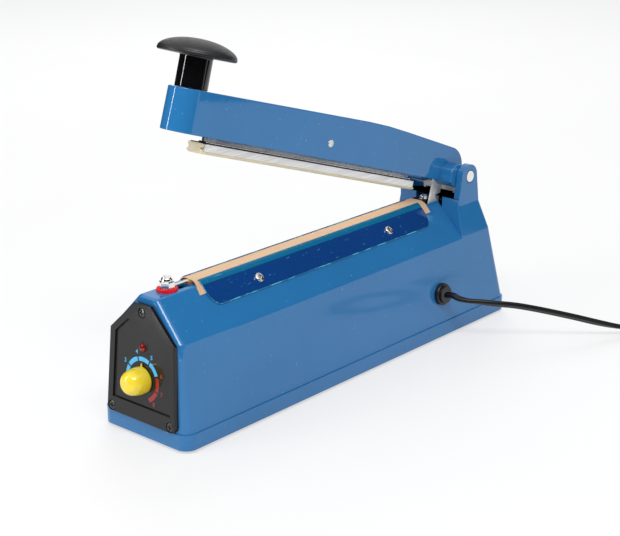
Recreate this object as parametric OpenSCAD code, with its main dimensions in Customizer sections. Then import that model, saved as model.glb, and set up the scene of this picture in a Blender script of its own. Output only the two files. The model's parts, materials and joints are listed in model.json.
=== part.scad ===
// Impulse heat sealer: a hinged press arm closes on a heated strip along the ridge of a hollow base.
// X runs along the base from the timer panel to the hinge, Y across it, Z up from the floor.

/* [Base] */
// Length of the base at its skirt
base_len = 320; // [290:5:350]
// Width of the base at its skirt
base_w = 72; // [68:1:80]
// Height of the skirt
skirt_h = 9.7; // [7:0.1:12]
// Step from the skirt in to the walls
skirt_ledge = 1; // [0.5:0.1:1.5]
// Corner radius of the base in plan
corner_r = 8; // [6:0.5:10]
// Height where the walls meet the roof
shoulder_h = 62; // [58:0.5:66]
// Width across the shoulders
shoulder_w = 57.6; // [55:0.2:60]
// Height of the flat ridge
ridge_h = 84.6; // [83:0.1:86]
// Width of the flat ridge
ridge_w = 15; // [14:0.2:16]
// Radius of the edges along the roof
edge_r = 3; // [2:0.1:4]
// Thickness of the housing walls
wall = 2.5; // [2:0.1:3]
// Backward lean of the front face, in degrees
front_lean = 3.65; // [2:0.05:5]
// Forward lean of the rear wall, in degrees
rear_lean = 13.2; // [11:0.1:14.5]
// Forward lean of the rear wall above the shoulder, in degrees
block_lean = 25.7; // [20:0.1:27]
// Height of the rubber feet below the skirt
foot_h = 1.8; // [1.5:0.1:4]
// Diameter of a rubber foot
foot_d = 12; // [8:0.5:16]
// Thickness of the bottom plate
plate_t = 1.5; // [1:0.1:2]
// Height of the bottom plate above the skirt's lower edge
plate_lift = 0.5; // [0.3:0.1:1]

/* [Hinge] */
// Height of the hinge pin above the skirt's lower edge
pin_h = 102.2; // [101.5:0.1:104]
// Distance from the rear end of the base to the pin
pin_back = 34.4; // [32:0.2:37]
// Diameter of the hinge pin
pin_d = 8; // [6:0.2:8.4]
// Running clearance around the pin, on the radius
pin_fit = 0.05; // [0.02:0.01:0.1]
// Clear width between the posts
post_gap = 40.4; // [38:0.2:42]
// Thickness of a post
post_t = 4.8; // [4:0.1:5.4]
// Radius of the round post tops
post_r = 8.85; // [8:0.05:10]
// Height of the crease at the foot of the posts
crease_h = 83.2; // [81:0.1:85]
// Reach of the post blocks ahead of the pin
block_ahead = 13; // [12:0.2:15]
// Height of the flat tops of the post blocks
block_h = 88; // [87:0.1:89]
// Width of the well between the blocks
well_w = 22; // [20:0.5:24]
// Diameter of the hinge bushes in the arm
bush_d = 10.4; // [10:0.1:10.8]
// Length of a hinge bush
bush_len = 9; // [6:0.5:11]

/* [Press arm] */
// Opening of the arm, in degrees
arm_open = 17.9; // [14:0.1:19]
// Slope of the arm when it is closed, which the bar takes up by turning on its rivet
arm_tilt = 0.75; // [0.4:0.05:1.2]
// Width of the arm
arm_w = 22; // [20:0.5:24]
// Distance from the front of the base to the closed arm's nose
arm_front = 13.9; // [12:0.2:18]
// Depth of the arm's lower edge below the pin
arm_drop = 6.9; // [6.4:0.1:7.2]
// Height of the arm at its nose
arm_nose_h = 25; // [23:0.2:28]
// Height of the arm where its top edge bends
arm_bend_h = 28.7; // [26:0.2:32]
// Height of the arm over its tail
arm_tail_h = 22.9; // [21:0.2:25]
// Distance from the pin to the bend in the top edge
arm_bend_at = 82; // [70:1:100]
// Reach of the tail behind the pin
arm_tail = 9.4; // [8:0.2:10]
// Radius of the tail's upper corner
arm_tail_r = 16; // [12:0.5:18]
// Wall thickness of the arm
arm_wall = 2.2; // [1.8:0.1:2.6]
// Reach of the hinge ears ahead of the pin
ear_ahead = 15; // [13.5:0.5:18]
// Height of the hinge ears above the pin
ear_h = 6.6; // [6.2:0.1:8]
// Radius of the front corner of the ears
ear_r = 8; // [6:0.5:10]
// Clearance between the ears and the posts
ear_gap = 0.4; // [0.3:0.05:0.8]

/* [Arm knob] */
// Diameter of the knob's cap
cap_d = 46.6; // [40:0.2:50]
// Height of the cap from its rim to its crown
cap_h = 9.1; // [7:0.1:12]
// Diameter of the knob's stem
stem_d = 19.2; // [16:0.2:21]
// Height of the stem from the arm to the cap's rim
stem_h = 19.3; // [16:0.5:26]
// Distance from the arm's nose to the knob's axis
knob_back = 13.7; // [12.5:0.5:20]
// Diameter of the screw that holds the knob
knob_screw_d = 5; // [4:0.5:6]

/* [Press bar] */
// Width of the press bar
bar_w = 12.6; // [11:0.2:14]
// Distance from the arm's nose to the front end of the rails
bar_from_nose = 27.4; // [26:0.2:36]
// Distance from the pin to the rear end of the rails
bar_from_pin = 37.6; // [36:0.2:42]
// Depth of the carrier rail below the arm's lower edge
rail_show = 3.3; // [3:0.1:3.6]
// Thickness of the black cushion
cushion_t = 0.4; // [0.3:0.1:0.8]
// Height of the press channel
channel_h = 4.5; // [4:0.1:5]
// Thickness of the carrier rail
rail_t = 1.6; // [1.2:0.1:2]
// Wall of the press channel
channel_t = 1.1; // [0.8:0.1:1.3]
// Length of silicone that shows past each end of the channel
silicone_over = 1.2; // [0.4:0.1:4]
// Place of the rivet that carries the bar, as a share of the arm's reach
rivet_share = 0.51; // [0.45:0.01:0.6]
// Diameter of that rivet
rivet_d = 4.9; // [4:0.1:6]
// Height of the rivet above the pin, arm closed
rivet_up = 3.5; // [2:0.1:5]
// Gap left between silicone and cloth when closed
seal_gap = 0.3; // [0.2:0.05:0.5]

/* [Heating strip] */
// Distance from the front of the base to the cloth's front edge
cloth_from = 38.5; // [36:0.5:42]
// Distance from the cloth's rear edge to the hinge blocks
cloth_to_block = 14.1; // [13.5:0.1:17]
// Thickness of the cloth
cloth_t = 0.4; // [0.3:0.05:0.5]
// Width of the insulating strip under the heating strip
strip_w = 6.4; // [5.5:0.1:6.8]
// Height of the insulating strip
strip_h = 1.6; // [1.4:0.1:1.8]
// Width of the heating strip
element_w = 2.4; // [1.5:0.1:4]
// Thickness of the heating strip
element_t = 0.3; // [0.2:0.05:0.4]
// Distance from the front of the base to the front terminal
terminal_from = 22.5; // [21:0.5:24]
// Diameter of the terminal washer
washer_d = 12.5; // [11:0.5:14]
// Diameter of the terminal stud
stud_d = 5; // [4:0.5:6]
// Width of the terminal nut across its flats
nut_af = 8; // [7:0.5:9]
// How much shorter the clamp plates are than the cloth
clamp_short = 9.5; // [6:0.5:14]
// Reach of a clamp plate from the middle of the ridge
clamp_reach = 18.8; // [17:0.1:21]
// Thickness of a clamp plate
clamp_t = 0.6; // [0.5:0.05:0.8]
// Spacing of the clamp screws
clamp_pitch = 125; // [100:1:140]
// Diameter of a clamp screw's head
clamp_head_d = 6; // [5:0.2:7]

/* [Timer panel] */
// Width of the panel at its foot
panel_foot_w = 57.6; // [54:0.2:59]
// Width of the panel at its shoulders
panel_shoulder_w = 53; // [50:0.2:55]
// Width of the panel at its top
panel_top_w = 12.5; // [11:0.2:14]
// Height of the panel's top edge
panel_top = 81.4; // [80:0.1:82]
// Thickness of the panel
panel_t = 3; // [2.4:0.1:3.4]
// Depth of the recess for the dial
recess = 1.2; // [0.8:0.1:1.4]
// Radius of the panel's lower corners
panel_corner_r = 3.5; // [2:0.1:4]
// Width of the rim around the recess
rim = 4.4; // [3:0.1:6]
// Height of the dial above the skirt's lower edge
dial_h = 35.6; // [33:0.2:38]
// Height of the indicator lens above the skirt's lower edge
lens_h = 55.2; // [53:0.2:57]
// Diameter of the indicator lens
lens_d = 5.4; // [5:0.1:6]
// Diameter of the timer knob at its foot
timer_d = 17.4; // [15:0.2:19]
// Length of the timer knob
timer_len = 13.2; // [10:0.2:16]
// Diameter of the potentiometer shaft
shaft_d = 6; // [5:0.5:6.5]

/* [Inside] */
// Length of the transformer core
core_l = 57; // [48:1:66]
// Stack of the transformer core
core_w = 28; // [22:1:32]
// Height of the transformer core
core_h = 44; // [38:1:46]
// Distance from the front of the base to the transformer core
core_from = 84; // [75:1:100]
// Length of the striker below the arm
striker_len = 38.1; // [37:0.5:40]
// Width of the striker
striker_w = 10.9; // [9:0.1:11]
// Distance from the pin to the striker's rear edge
striker_back = 1.7; // [1.6:0.1:3]
// Thickness of the bent steel pieces
sheet_t = 1.2; // [1:0.1:1.4]
// Curls of the return spring
spring_curls = 18; // [12:1:24]
// Wire of the return spring
spring_wire = 1.2; // [1:0.1:1.3]
// Diameter of the return spring at the middle of its wire
spring_d = 8; // [6:0.5:9]
// Advance of the return spring in each curl
spring_pitch = 1.8; // [1.7:0.1:2]

/* [Cord] */
// Width of the flat cord
cord_w = 5.5; // [5:0.1:5.8]
// Thickness of the flat cord
cord_t = 3.3; // [3:0.1:3.5]
// Diameter of the cord bushing's collar
gland_d = 15; // [13:0.5:17]
// Length of the bushing outside the wall
gland_out = 5; // [4:0.5:5]
// Distance from the rear of the base to the bushing
gland_back = 75; // [60:1:90]
// Height of the bushing above the skirt's lower edge
gland_h = 29.6; // [24:0.2:36]

/* [Hidden] */
$fn = 64;
hull_fn = 32;
eps = 0.01;
// Gap between faces that meet, clearance around a screw or a pin, and a length that cuts right through
touch = 0.05;
slip = 0.3;
through = 600;
// Common screws: shank, its hole, head and head height
screw_d = 2.9;
screw_hole_d = screw_d + slip;
screw_head_d = 6;
screw_head_h = 2;
// Heights and leans of the housing
shoulder_y = shoulder_w / 2;
wall_foot_y = base_w / 2 - skirt_ledge;
roof_slope = (ridge_h - shoulder_h) / (shoulder_y - ridge_w / 2);
roof_lean = atan(roof_slope);
wall_lean = atan((wall_foot_y - shoulder_y) / (shoulder_h - skirt_h));
inner_ridge_h = ridge_h - wall;
inner_shoulder_h = shoulder_h - wall / 2;
floor_h = plate_lift + plate_t;
plate_gap = 0.4;
body_corner_r = corner_r - skirt_ledge;
shoulder_corner_r = 4;
ridge_corner_r = 3;
block_corner_r = 1;
boss_d = 9;
boss_h = 22;
boss_in = 17;
boss_y = wall_foot_y - 6.2;
foot_in = 34;
foot_edge = 0.8;
// Places along the base, from its middle
front_x0 = -base_len / 2;
rear_x0 = base_len / 2;
pin_x = rear_x0 - pin_back;
block_x = pin_x - block_ahead;
panel_x0 = front_x(0);
cloth_x = front_x0 + cloth_from;
cloth_len = block_x - cloth_to_block - cloth_x;
terminal_x = front_x0 + terminal_from;
strip_over = 1;
clamp_in = 3.5;
clamp_x = cloth_x + clamp_in;
clamp_len = cloth_len - clamp_short;
slot_front_len = 8.5;
slot_front_x = cloth_x - slot_front_len - strip_over;
slot_front_w = 7;
slot_rear_x = cloth_x + cloth_len + 2;
slot_rear_w = ridge_w - 1.8;
post_y = post_gap / 2 + post_t;
post_top_back = 0.8;
post_top_x = pin_x - post_top_back;
post_top_z = pin_h - 0.4;
// Terminals of the heating strip
front_tab_d = stud_d + 3.4;
nut_h = 4;
stud_head_h = 3;
stud_rise = 7;
rear_terminal_x = slot_rear_x + 6;
rear_tab_d = 5.6;
rear_screw_d = 3;
rear_head_h = 2.2;
rear_block_h = 14;
// The arm's own frame has its origin on the pin, with the arm level
arm_reach = pin_x - front_x0 - arm_front;
nose_r = arm_w / 2;
knob_u = -(arm_reach - knob_back);
arm_bend_half = 22;
arm_top_nose = arm_nose_h - arm_drop;
arm_top_bend = arm_bend_h - arm_drop;
arm_top_tail = arm_tail_h - arm_drop;
arm_top_run = arm_reach - arm_bend_at - arm_bend_half;
ear_half = post_gap / 2 - ear_gap;
hollow_end = 26;
bush_fit = 0.02;
knob_screw_in = 11;
knob_head_d = 9;
knob_head_h = 3;
// Press bar, from the arm down to the cloth
rivet_u = -rivet_share * arm_reach;
rail_low = -arm_drop - rail_show;
rail_top = rivet_up + rivet_d;
cushion_low = rail_low - cushion_t;
cushion_in = 0.3;
rail_in = 3.8;
rail_foot_w = 6;
rail_foot_t = 0.8;
channel_low = cushion_low - channel_h;
channel_lip = 2;
groove = 0.2;
cloth_top = ridge_h + strip_h + element_t + touch + cloth_t;
silicone_low = cloth_top + seal_gap - pin_h + rivet_u * sin(arm_tilt);
silicone_bevel = [2, 0.9];
silicone_rear = 1.5;
bar_u = -(arm_reach - bar_from_nose);
bar_len = -bar_u - bar_from_pin;
// Striker that hangs from the arm
striker_u = -striker_back - striker_w;
striker_y = -4;
striker_flange = 11;
tab_size = 8;
tab_hole_d = 2.6;
tab_u = striker_u + 3;
tab_v = -arm_drop - striker_len + tab_size / 2;
// The cloth curves down from the insulating strip and lies on the roof
drape_top = cloth_top - cloth_t;
drape_turn_y = ridge_w / 2 - (drape_top - ridge_h - touch) / roof_slope;
drape_run = drape_turn_y - strip_w / 2;
drape_steps = 8;
cloth_half = ridge_w / 2 + 4.3;
clamp_lip = 0.4;
clamp_low = cloth_t + touch;
clamp_high = clamp_low + clamp_t;
clamp_corner_r = 7;
clamp_seat_y = ridge_w / 2 + 6;
clamp_screw_len = 7;
// Timer panel and board, measured in from the housing's front face
bolt_y = panel_foot_w / 2 - 4.3;
bolt_low = skirt_h + 3.7;
bolt_high = panel_top - 5.2;
bolt_land = 6;
bolt_len = 10;
bolt_head_d = 5.6;
bolt_head_h = 1.3;
panel_foot = skirt_h + 0.5;
recess_x = -panel_t + recess;
board_x = 13.5;
board_t = 1.6;
board_w = 44;
board_low = 16;
board_high = 59;
board_hole_in = 4;
window_w = 36;
window_low = 20;
window_high = 62;
lens_sink = 0.3;
lens_flange = 0.7;
lens_leg_d = 0.6;
lens_leg_y = 1.3;
pot_d = 16.5;
pot_front = 4.2;
pot_lug_w = 10;
pot_lug_h = 6.8;
bushing_d = 7.2;
bushing_out = 2;
pot_nut_d = 11.5;
shaft_in = 3;
knob_gap = 0.3;
knob_rim = 1.4;
knob_blunt = 0.45;
knob_top = 3.2;
knob_hollow_d = 12.6;
pointer_h = 3.2;
pointer_out = 1.6;
pointer_w = 4.8;
relay_size = [15.5, 19, 15];
relay_at = [-20, 36];
capacitor_d = 10;
capacitor_len = 20;
capacitor_at = [11, 43];
sink_size = [2, 30, 13];
sink_at = [-14, 20];
fin_t = 1.6;
fin_out = 10;
fins = 5;
// The bounding box runs from the timer knob's tip to the rear of the skirt
knob_tip = panel_x0 + (recess_x - knob_gap - timer_len) * cos(front_lean) + dial_h * sin(front_lean);
base_x = -(knob_tip + rear_x0) / 2;
// Transformer
core_leg = core_l / 6;
bobbin_t = 1;
bobbin_in = 1;
winding_in = 1.8;
strap_in = 4;
strap_foot = 12;
vent_w = 3;
vent_pitch = 7;
// Microswitch behind the striker
switch_x = pin_x + 1.5;
switch_drop = 47.2;
switch_low = pin_h - switch_drop;
switch_h = 20;
switch_deep = 9.5;
switch_w = 6.4;
switch_screw_d = 2.1;
switch_screw_in = 5;
switch_screw_x = 6.5;
bracket_foot = 14;
lug_r = 1.6;
lug_gap = 0.3;
lever_pivot_x = switch_x - 1;
lever_pivot_z = switch_low + 2.5;
lever_pivot_d = 1.6;
lever_len = 27;
lever_lean = 15.2;
lever_t = 0.5;
lever_w = 4;
lever_tip_d = 1.2;
plunger_z = lever_pivot_z + 6;
plunger_d = 2.4;
plunger_gap = 0.25;
plunger_in = 2;
plunger_room = 5;
plunger_x = lever_pivot_x - (plunger_z - lever_pivot_z) * tan(lever_lean) + lever_t / 2 / cos(lever_lean)
    + plunger_gap;
// Bridge between the blocks, on which the open arm rests its tail
stop_t = 2.6;
stop_foot = 2.4;
stop_lift = 1.2;
stop_gap = 0.3;
stop_half = well_w / 2 + stop_foot + stop_gap;
stop_high = pin_h - arm_drop / cos(arm_open) - stop_t / 2 * tan(arm_open) - stop_gap;
pin_out = 0.4;
// Return spring between its anchor and the striker's tab
spring_z = pin_h - tab_u * sin(arm_open) + tab_v * cos(arm_open);
tab_x = pin_x + tab_u * cos(arm_open) + tab_v * sin(arm_open);
spring_len = spring_curls * spring_pitch;
spring_tail = 5;
curl_rings = 8;
spring_rings = spring_curls * curl_rings;
anchor_x = tab_x - spring_len - 2 * spring_tail;
anchor_w = 12;
anchor_over = 5;
// Cord bushing on the near wall
gland_x = rear_x0 - gland_back;
gland_neck_d = 11;
gland_neck_in = 2;
gland_rim = 1.6;
gland_collar = gland_out * 0.64;
gland_edge = 0.5;
gland_face = [base_x + gland_x, -wall_y(gland_h) - gland_out * cos(wall_lean),
    foot_h + gland_h + gland_out * sin(wall_lean)];
gland_dir = [0, -cos(wall_lean), sin(wall_lean)];
// Route of the free cord: steps from the bushing's face along X and Y, and the share of the drop
cord_steps = [
    [1, -10, 0.03], [4, -16, 0.06], [9, -23, 0.08], [16, -31, 0.12], [25, -39, 0.18], [35, -48, 0.28],
    [46, -57, 0.41], [58, -67, 0.56], [70, -76, 0.72], [82, -85, 0.86], [94, -94, 0.95], [105, -103, 0.99],
    [116, -111, 1]
];
cord_in = 3;
cord_lift = 1.15;
coil_z = cord_t / 2 + cord_lift;
cord_route = concat(
    [gland_face - cord_in * gland_dir, gland_face + gland_dir, gland_face + cord_w * gland_dir],
    [for (c = cord_steps) cord_point(c)]);
cord_end = cord_route[len(cord_route) - 1];
// Coil of the spare cord, its tie and the plug
coil_r = 36.8;
coil_start = 52.5;
coil_turns = 2.25;
coil_centre = [cord_end[0] - coil_r * cos(coil_start), cord_end[1] - coil_r * sin(coil_start)];
coil_step = cord_w + 0.8;
coil_rise = cord_t + 0.6;
coil_tail = 24;
loop_rings = 24;
coil_half = round(coil_turns * loop_rings);
coil_climb = loop_rings / 2;
coil_inner_r = coil_r - coil_step * coil_turns;
coil_path = [for (i = [0:2 * coil_half + coil_climb]) coil_point(i)];
coil_end = coil_path[len(coil_path) - 1];
coil_exit = unit(coil_end - coil_path[len(coil_path) - 2]);
plug_from = coil_end + coil_exit * coil_tail;
tie_w = 6;
tie_t = 0.6;
tie_room = 0.4;
tie_at = 200;
plug_len = 36;
plug_w = 34;
plug_h = 2 * (coil_z + coil_rise) - 0.2;
plug_neck_w = 6.4;
plug_neck_len = 10;
plug_face_len = 10;
plug_pin_d = 4;
plug_pin_len = 19;
plug_pin_in = 12;
plug_pin_pitch = 18.6;

function mix(a, b, t) = a + (b - a) * t;
function unit(v) = v / norm(v);
function reverse(list) = [for (i = [len(list) - 1:-1:0]) list[i]];
function flip(list) = [for (p = list) [-p[0], p[1]]];
function whole(half) = concat(half, reverse(flip(half)));
function arc(c, r, a0, a1, n) = [for (i = [0:n]) let (a = mix(a0, a1, i / n)) c + r * [cos(a), sin(a)]];

// Outline of the housing: half-widths and ends at a height
function wall_y(z) = wall_foot_y - (z - skirt_h) * tan(wall_lean);
function roof_y(z) = shoulder_y - (z - shoulder_h) / roof_slope;
function roof_z(y) = ridge_h - (y - ridge_w / 2) * roof_slope;
function front_x(z) = front_x0 + skirt_ledge + (z - skirt_h) * tan(front_lean);
function lower_rear_x(z) = rear_x0 - skirt_ledge - (z - skirt_h) * tan(rear_lean);
function rear_x(z) = lower_rear_x(min(z, shoulder_h)) - max(z - shoulder_h, 0) * tan(block_lean);

// Rounded edges of the roof, from the shoulder up, and the rounding of its front end
function fillet(corner, a0, a1, n) = arc(corner - edge_r / cos((a1 - a0) / 2) * [cos((a0 + a1) / 2),
    sin((a0 + a1) / 2)], edge_r, a0, a1, n);
function roof_section() = concat(fillet([shoulder_y, shoulder_h], wall_lean, 90 - roof_lean, 5),
    fillet([ridge_w / 2, ridge_h], 90 - roof_lean, 90, 6));
function end_round(z) = edge_r * (1 - sqrt(1 - pow(max(0, 1 - (ridge_h - z) / edge_r), 2)));
function roof_corner_r(z) = mix(shoulder_corner_r, ridge_corner_r, (z - shoulder_h) / (ridge_h - shoulder_h));

// Half-widths, heights and corner radii of the blocks
function block_section() = [[wall_y(shoulder_h - edge_r), shoulder_h - edge_r, shoulder_corner_r],
    [shoulder_y, shoulder_h, shoulder_corner_r], [post_y, crease_h, block_corner_r],
    [post_y, block_h, block_corner_r]];

// Half-width of the panel at a height
function panel_y(z) = mix(panel_foot_w, panel_shoulder_w, (z - panel_foot) / (shoulder_h - panel_foot)) / 2;

// Height of the arm's top at a distance along it
function arm_top_at(u) = mix(arm_top_nose, arm_top_bend, (u + arm_reach) / arm_top_run);

// Underside of the cloth: a curve off the strip, then the roof, both with a lift square to them
function drape_start() = [strip_w / 2, drape_top];
function drape_turn() = [drape_turn_y, drape_top];
function drape_end() = drape_turn() + drape_run * [cos(roof_lean), -sin(roof_lean)];
function drape_at(t) = mix(mix(drape_start(), drape_turn(), t), mix(drape_turn(), drape_end(), t), t);
function drape_dir(t) = unit(mix(drape_turn() - drape_start(), drape_end() - drape_turn(), t));
function drape_point(t, lift) = drape_at(t) + lift * [-drape_dir(t)[1], drape_dir(t)[0]];
function on_roof(y, lift) = [y, roof_z(y) + touch] + lift * [sin(roof_lean), cos(roof_lean)];
function drape_line(t0, y1, lift) = concat(
    [for (i = [0:drape_steps]) drape_point(mix(t0, 1, i / drape_steps), lift)], [on_roof(y1, lift)]);

// Frames: the base, the arm on its pin, the leaning front face and the near wall
module in_base() translate([base_x, 0, foot_h]) children();
module in_arm() in_base() translate([pin_x, 0, pin_h]) rotate([0, arm_open, 0]) children();
module lean_front() translate([panel_x0, 0, 0]) rotate([0, front_lean, 0]) children();
module on_front() in_base() lean_front() children();
module lean_wall() translate([gland_x, -wall_y(gland_h), gland_h]) rotate([90 - wall_lean, 0, 0]) children();
module in_core() in_base() translate([front_x0 + core_from, 0, floor_h]) children();

module along_x(length) rotate([90, 0, 90]) linear_extrude(length) children();
module along_y(w) rotate([90, 0, 0]) linear_extrude(w, center = true) children();
module rod_x(d, length) rotate([0, 90, 0]) cylinder(d = d, h = length);
module rod_y(d, length) rotate([90, 0, 0]) cylinder(d = d, h = length, center = true);
module bore_x(d) translate([-through / 2, 0, 0]) rod_x(d, through);
module bore_z(d) cylinder(d = d, h = through, center = true);

module both_sides() {
    children();
    mirror([0, 1, 0]) children();
}

module round_rect(x0, x1, w, r) {
    translate([x0 + r, -w / 2]) square([x1 - x0 - 2 * r, w]);
    translate([x0, -w / 2 + r]) square([x1 - x0, w - 2 * r]);
    for (x = [x0 + r, x1 - r], y = [-1, 1]) translate([x, y * (w / 2 - r)]) circle(r);
}

module pan_screw(head_d, head_h, shank_d, shank_len) {
    round_r = head_h * 0.6;
    rotate_extrude() polygon(concat([[0, 0], [head_d / 2, 0]],
        arc([head_d / 2 - round_r, head_h - round_r], round_r, 0, 90, 6), [[0, head_h]]));
    translate([0, 0, -shank_len]) cylinder(d = shank_d, h = shank_len);
}

// A level slice of the housing, for lofting
module level(z, half_w, x0, x1, r) {
    translate([0, 0, z]) linear_extrude(eps) round_rect(x0, x1, 2 * half_w, r, $fn = hull_fn);
}

module housing_outside() {
    linear_extrude(skirt_h) round_rect(front_x0, rear_x0, base_w, corner_r);
    hull() {
        level(skirt_h - eps, wall_foot_y, front_x(skirt_h), rear_x(skirt_h), body_corner_r);
        for (p = roof_section())
            level(p[1] - eps, p[0], front_x(p[1]) + end_round(p[1]), rear_x(p[1]), roof_corner_r(p[1]));
    }
    // Blocks that carry the posts
    intersection() {
        translate([block_x, -base_w / 2, 0]) cube([base_len, base_w, block_h]);
        hull() for (p = block_section()) level(p[1] - eps, p[0], 0, rear_x(p[1]), p[2]);
    }
    both_sides() translate([0, -post_gap / 2 - post_t / 2, 0]) along_y(post_t) post_side();
}

module post_side() {
    translate([post_top_x, post_top_z]) circle(post_r);
    polygon([[block_x, crease_h], [rear_x(crease_h), crease_h], [post_top_x + post_r, post_top_z],
        [post_top_x - post_r, post_top_z]]);
}

module housing_inside() {
    shoulder_in_y = wall_y(inner_shoulder_h) - wall;
    shoulder_in_x0 = front_x(inner_shoulder_h) + wall;
    shoulder_in_x1 = rear_x(inner_shoulder_h) - wall;
    shoulder_in_r = shoulder_corner_r - wall / 2;
    foot_in_y = wall_foot_y - wall;
    foot_in_x0 = front_x(skirt_h) + wall;
    foot_in_x1 = rear_x(skirt_h) - wall;
    foot_in_r = body_corner_r - wall;
    linear_extrude(2 * skirt_h, center = true) round_rect(foot_in_x0, foot_in_x1, 2 * foot_in_y, foot_in_r);
    hull() {
        level(skirt_h - eps, foot_in_y, foot_in_x0, foot_in_x1, foot_in_r);
        level(inner_shoulder_h, shoulder_in_y, shoulder_in_x0, shoulder_in_x1, shoulder_in_r);
    }
    hull() {
        level(inner_shoulder_h - eps, shoulder_in_y, shoulder_in_x0, shoulder_in_x1, shoulder_in_r);
        level(inner_ridge_h, roof_y(inner_ridge_h) - wall / sin(roof_lean), front_x(inner_ridge_h) + wall,
            rear_x(inner_ridge_h) - wall, ridge_corner_r - wall / 2);
    }
    // Well between the blocks, and the two slots in the ridge
    translate([block_x, -well_w / 2, shoulder_h]) cube([rear_x(block_h) - wall - block_x, well_w, pin_h]);
    ridge_slot(slot_front_x, slot_front_len, slot_front_w);
    ridge_slot(slot_rear_x, block_x - slot_rear_x + eps, slot_rear_w);
}

module ridge_slot(x, length, w) translate([x, -w / 2, inner_ridge_h - wall]) cube([length, w, 3 * wall]);

module at_bosses() {
    for (x = [front_x0 + boss_in, rear_x0 - boss_in], y = [-boss_y, boss_y]) translate([x, y, 0]) children();
}

module at_panel_screws() {
    for (p = [[-bolt_y, bolt_low], [bolt_y, bolt_low], [0, bolt_high]])
        translate([recess_x, p[0], p[1]]) children();
}

module at_clamp_screws() {
    seat = on_roof(clamp_seat_y, clamp_high);
    both_sides() for (x = [-1, 1]) translate([clamp_x + (clamp_len + x * clamp_pitch) / 2, -seat[0], seat[1]])
        rotate([roof_lean, 0, 0]) children();
}

module base_housing() color("steelblue") in_base() difference() {
    union() {
        difference() {
            housing_outside();
            housing_inside();
        }
        // Screw bosses for the bottom plate stand against the side walls
        intersection() {
            at_bosses() translate([0, 0, floor_h + touch]) cylinder(d = boss_d, h = boss_h);
            translate([front_x0, -wall_foot_y + wall / 2, 0])
                cube([base_len, 2 * wall_foot_y - wall, shoulder_h]);
        }
    }
    at_bosses() cylinder(d = screw_d + 4 * touch, h = floor_h + boss_h / 2);
    translate([pin_x, 0, pin_h]) rod_y(pin_d + 2 * pin_fit, base_w);
    translate([terminal_x, 0, ridge_h]) cylinder(d = stud_d + slip, h = 3 * wall, center = true);
    at_clamp_screws() cylinder(d = screw_hole_d, h = 4 * clamp_screw_len, center = true);
    lean_front() {
        translate([-wall, -window_w / 2, window_low]) cube([3 * wall, window_w, window_high - window_low]);
        at_panel_screws() rod_x(screw_hole_d, bolt_len + wall);
    }
    lean_wall() cylinder(d = gland_neck_d + 4 * touch, h = 4 * wall, center = true);
}

module bottom_plate() color("dimgray") in_base() difference() {
    inset = skirt_ledge + wall + plate_gap;
    translate([0, 0, plate_lift]) linear_extrude(plate_t)
        round_rect(front_x0 + inset, rear_x0 - inset, base_w - 2 * inset, body_corner_r - wall);
    at_bosses() bore_z(screw_hole_d);
    at_strap_feet() bore_z(screw_hole_d);
    // Air slots under the transformer
    for (i = [-3:3]) translate([front_x0 + core_from + core_l / 2 + i * vent_pitch, 0, 0])
        linear_extrude(through, center = true) round_rect(-vent_w / 2, vent_w / 2, core_w / 2, vent_w * 0.49);
}

module at_strap_feet() {
    for (x = [-strap_foot / 2, core_l + strap_foot / 2])
        translate([front_x0 + core_from + x, 0, 0]) children();
}

module bottom_screws() color("silver") in_base() at_bosses() translate([0, 0, plate_lift]) mirror([0, 0, 1])
    pan_screw(screw_head_d, foot_h * 0.7, screw_d, boss_h / 2);

module rubber_feet() color("black") in_base() for (x = [front_x0 + foot_in, rear_x0 - foot_in], y = [-1, 1])
    translate([x, y * (wall_foot_y - foot_d), plate_lift]) mirror([0, 0, 1]) rotate_extrude()
        polygon([[0, 0], [foot_d / 2, 0], [foot_d / 2, foot_h - foot_edge / 2],
            [foot_d / 2 - foot_edge, foot_h + plate_lift], [0, foot_h + plate_lift]]);

// House-shaped outline of the panel, drawn in from its edge
module panel_outline(inset) {
    foot = panel_foot + inset;
    corner = foot + panel_corner_r;
    polygon(whole(concat(arc([panel_y(corner) - inset - panel_corner_r, corner], panel_corner_r, -90, 0, 6),
        [[panel_shoulder_w / 2 - inset, shoulder_h - inset * 0.3],
        [panel_top_w / 2 - inset * 0.4, panel_top - inset]])));
}

module front_panel() color([0.26, 0.25, 0.27]) on_front() difference() {
    translate([-panel_t, 0, 0]) along_x(panel_t - touch) panel_outline(0);
    // The recess leaves bands for the lower and upper screws level with the rim
    translate([-2 * panel_t, 0, 0]) along_x(panel_t + recess) difference() {
        panel_outline(rim);
        translate([-base_w, 0]) square([2 * base_w, bolt_low + bolt_land]);
        translate([-base_w, bolt_high - bolt_land]) square([2 * base_w, base_w]);
    }
    translate([0, 0, dial_h]) bore_x(bushing_d + slip);
    translate([0, 0, lens_h]) bore_x(lens_d + slip / 2);
    at_panel_screws() bore_x(screw_hole_d);
    at_panel_screws() translate([-panel_t, 0, 0]) rod_x(bolt_head_d + 2 * slip, panel_t);
}

module panel_screws() color([0.1, 0.1, 0.1]) on_front() at_panel_screws()
    rotate([0, -90, 0]) pan_screw(bolt_head_d, bolt_head_h, screw_d, bolt_len);

module indicator_lens() color("darkred") on_front() translate([0, 0, lens_h]) {
    translate([recess_x + lens_sink, 0, 0]) rod_x(lens_d, -recess_x - lens_sink);
    translate([recess_x + lens_sink, 0, 0]) rotate([0, -90, 0])
        rotate_extrude() polygon(concat([[0, 0]], arc([0, 0], lens_d / 2, 0, 90, 10)));
    rod_x(lens_d + 2 * lens_flange, lens_flange);
    for (y = [-lens_leg_y, lens_leg_y]) translate([0, y, 0]) rod_x(lens_leg_d, board_x);
}

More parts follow.
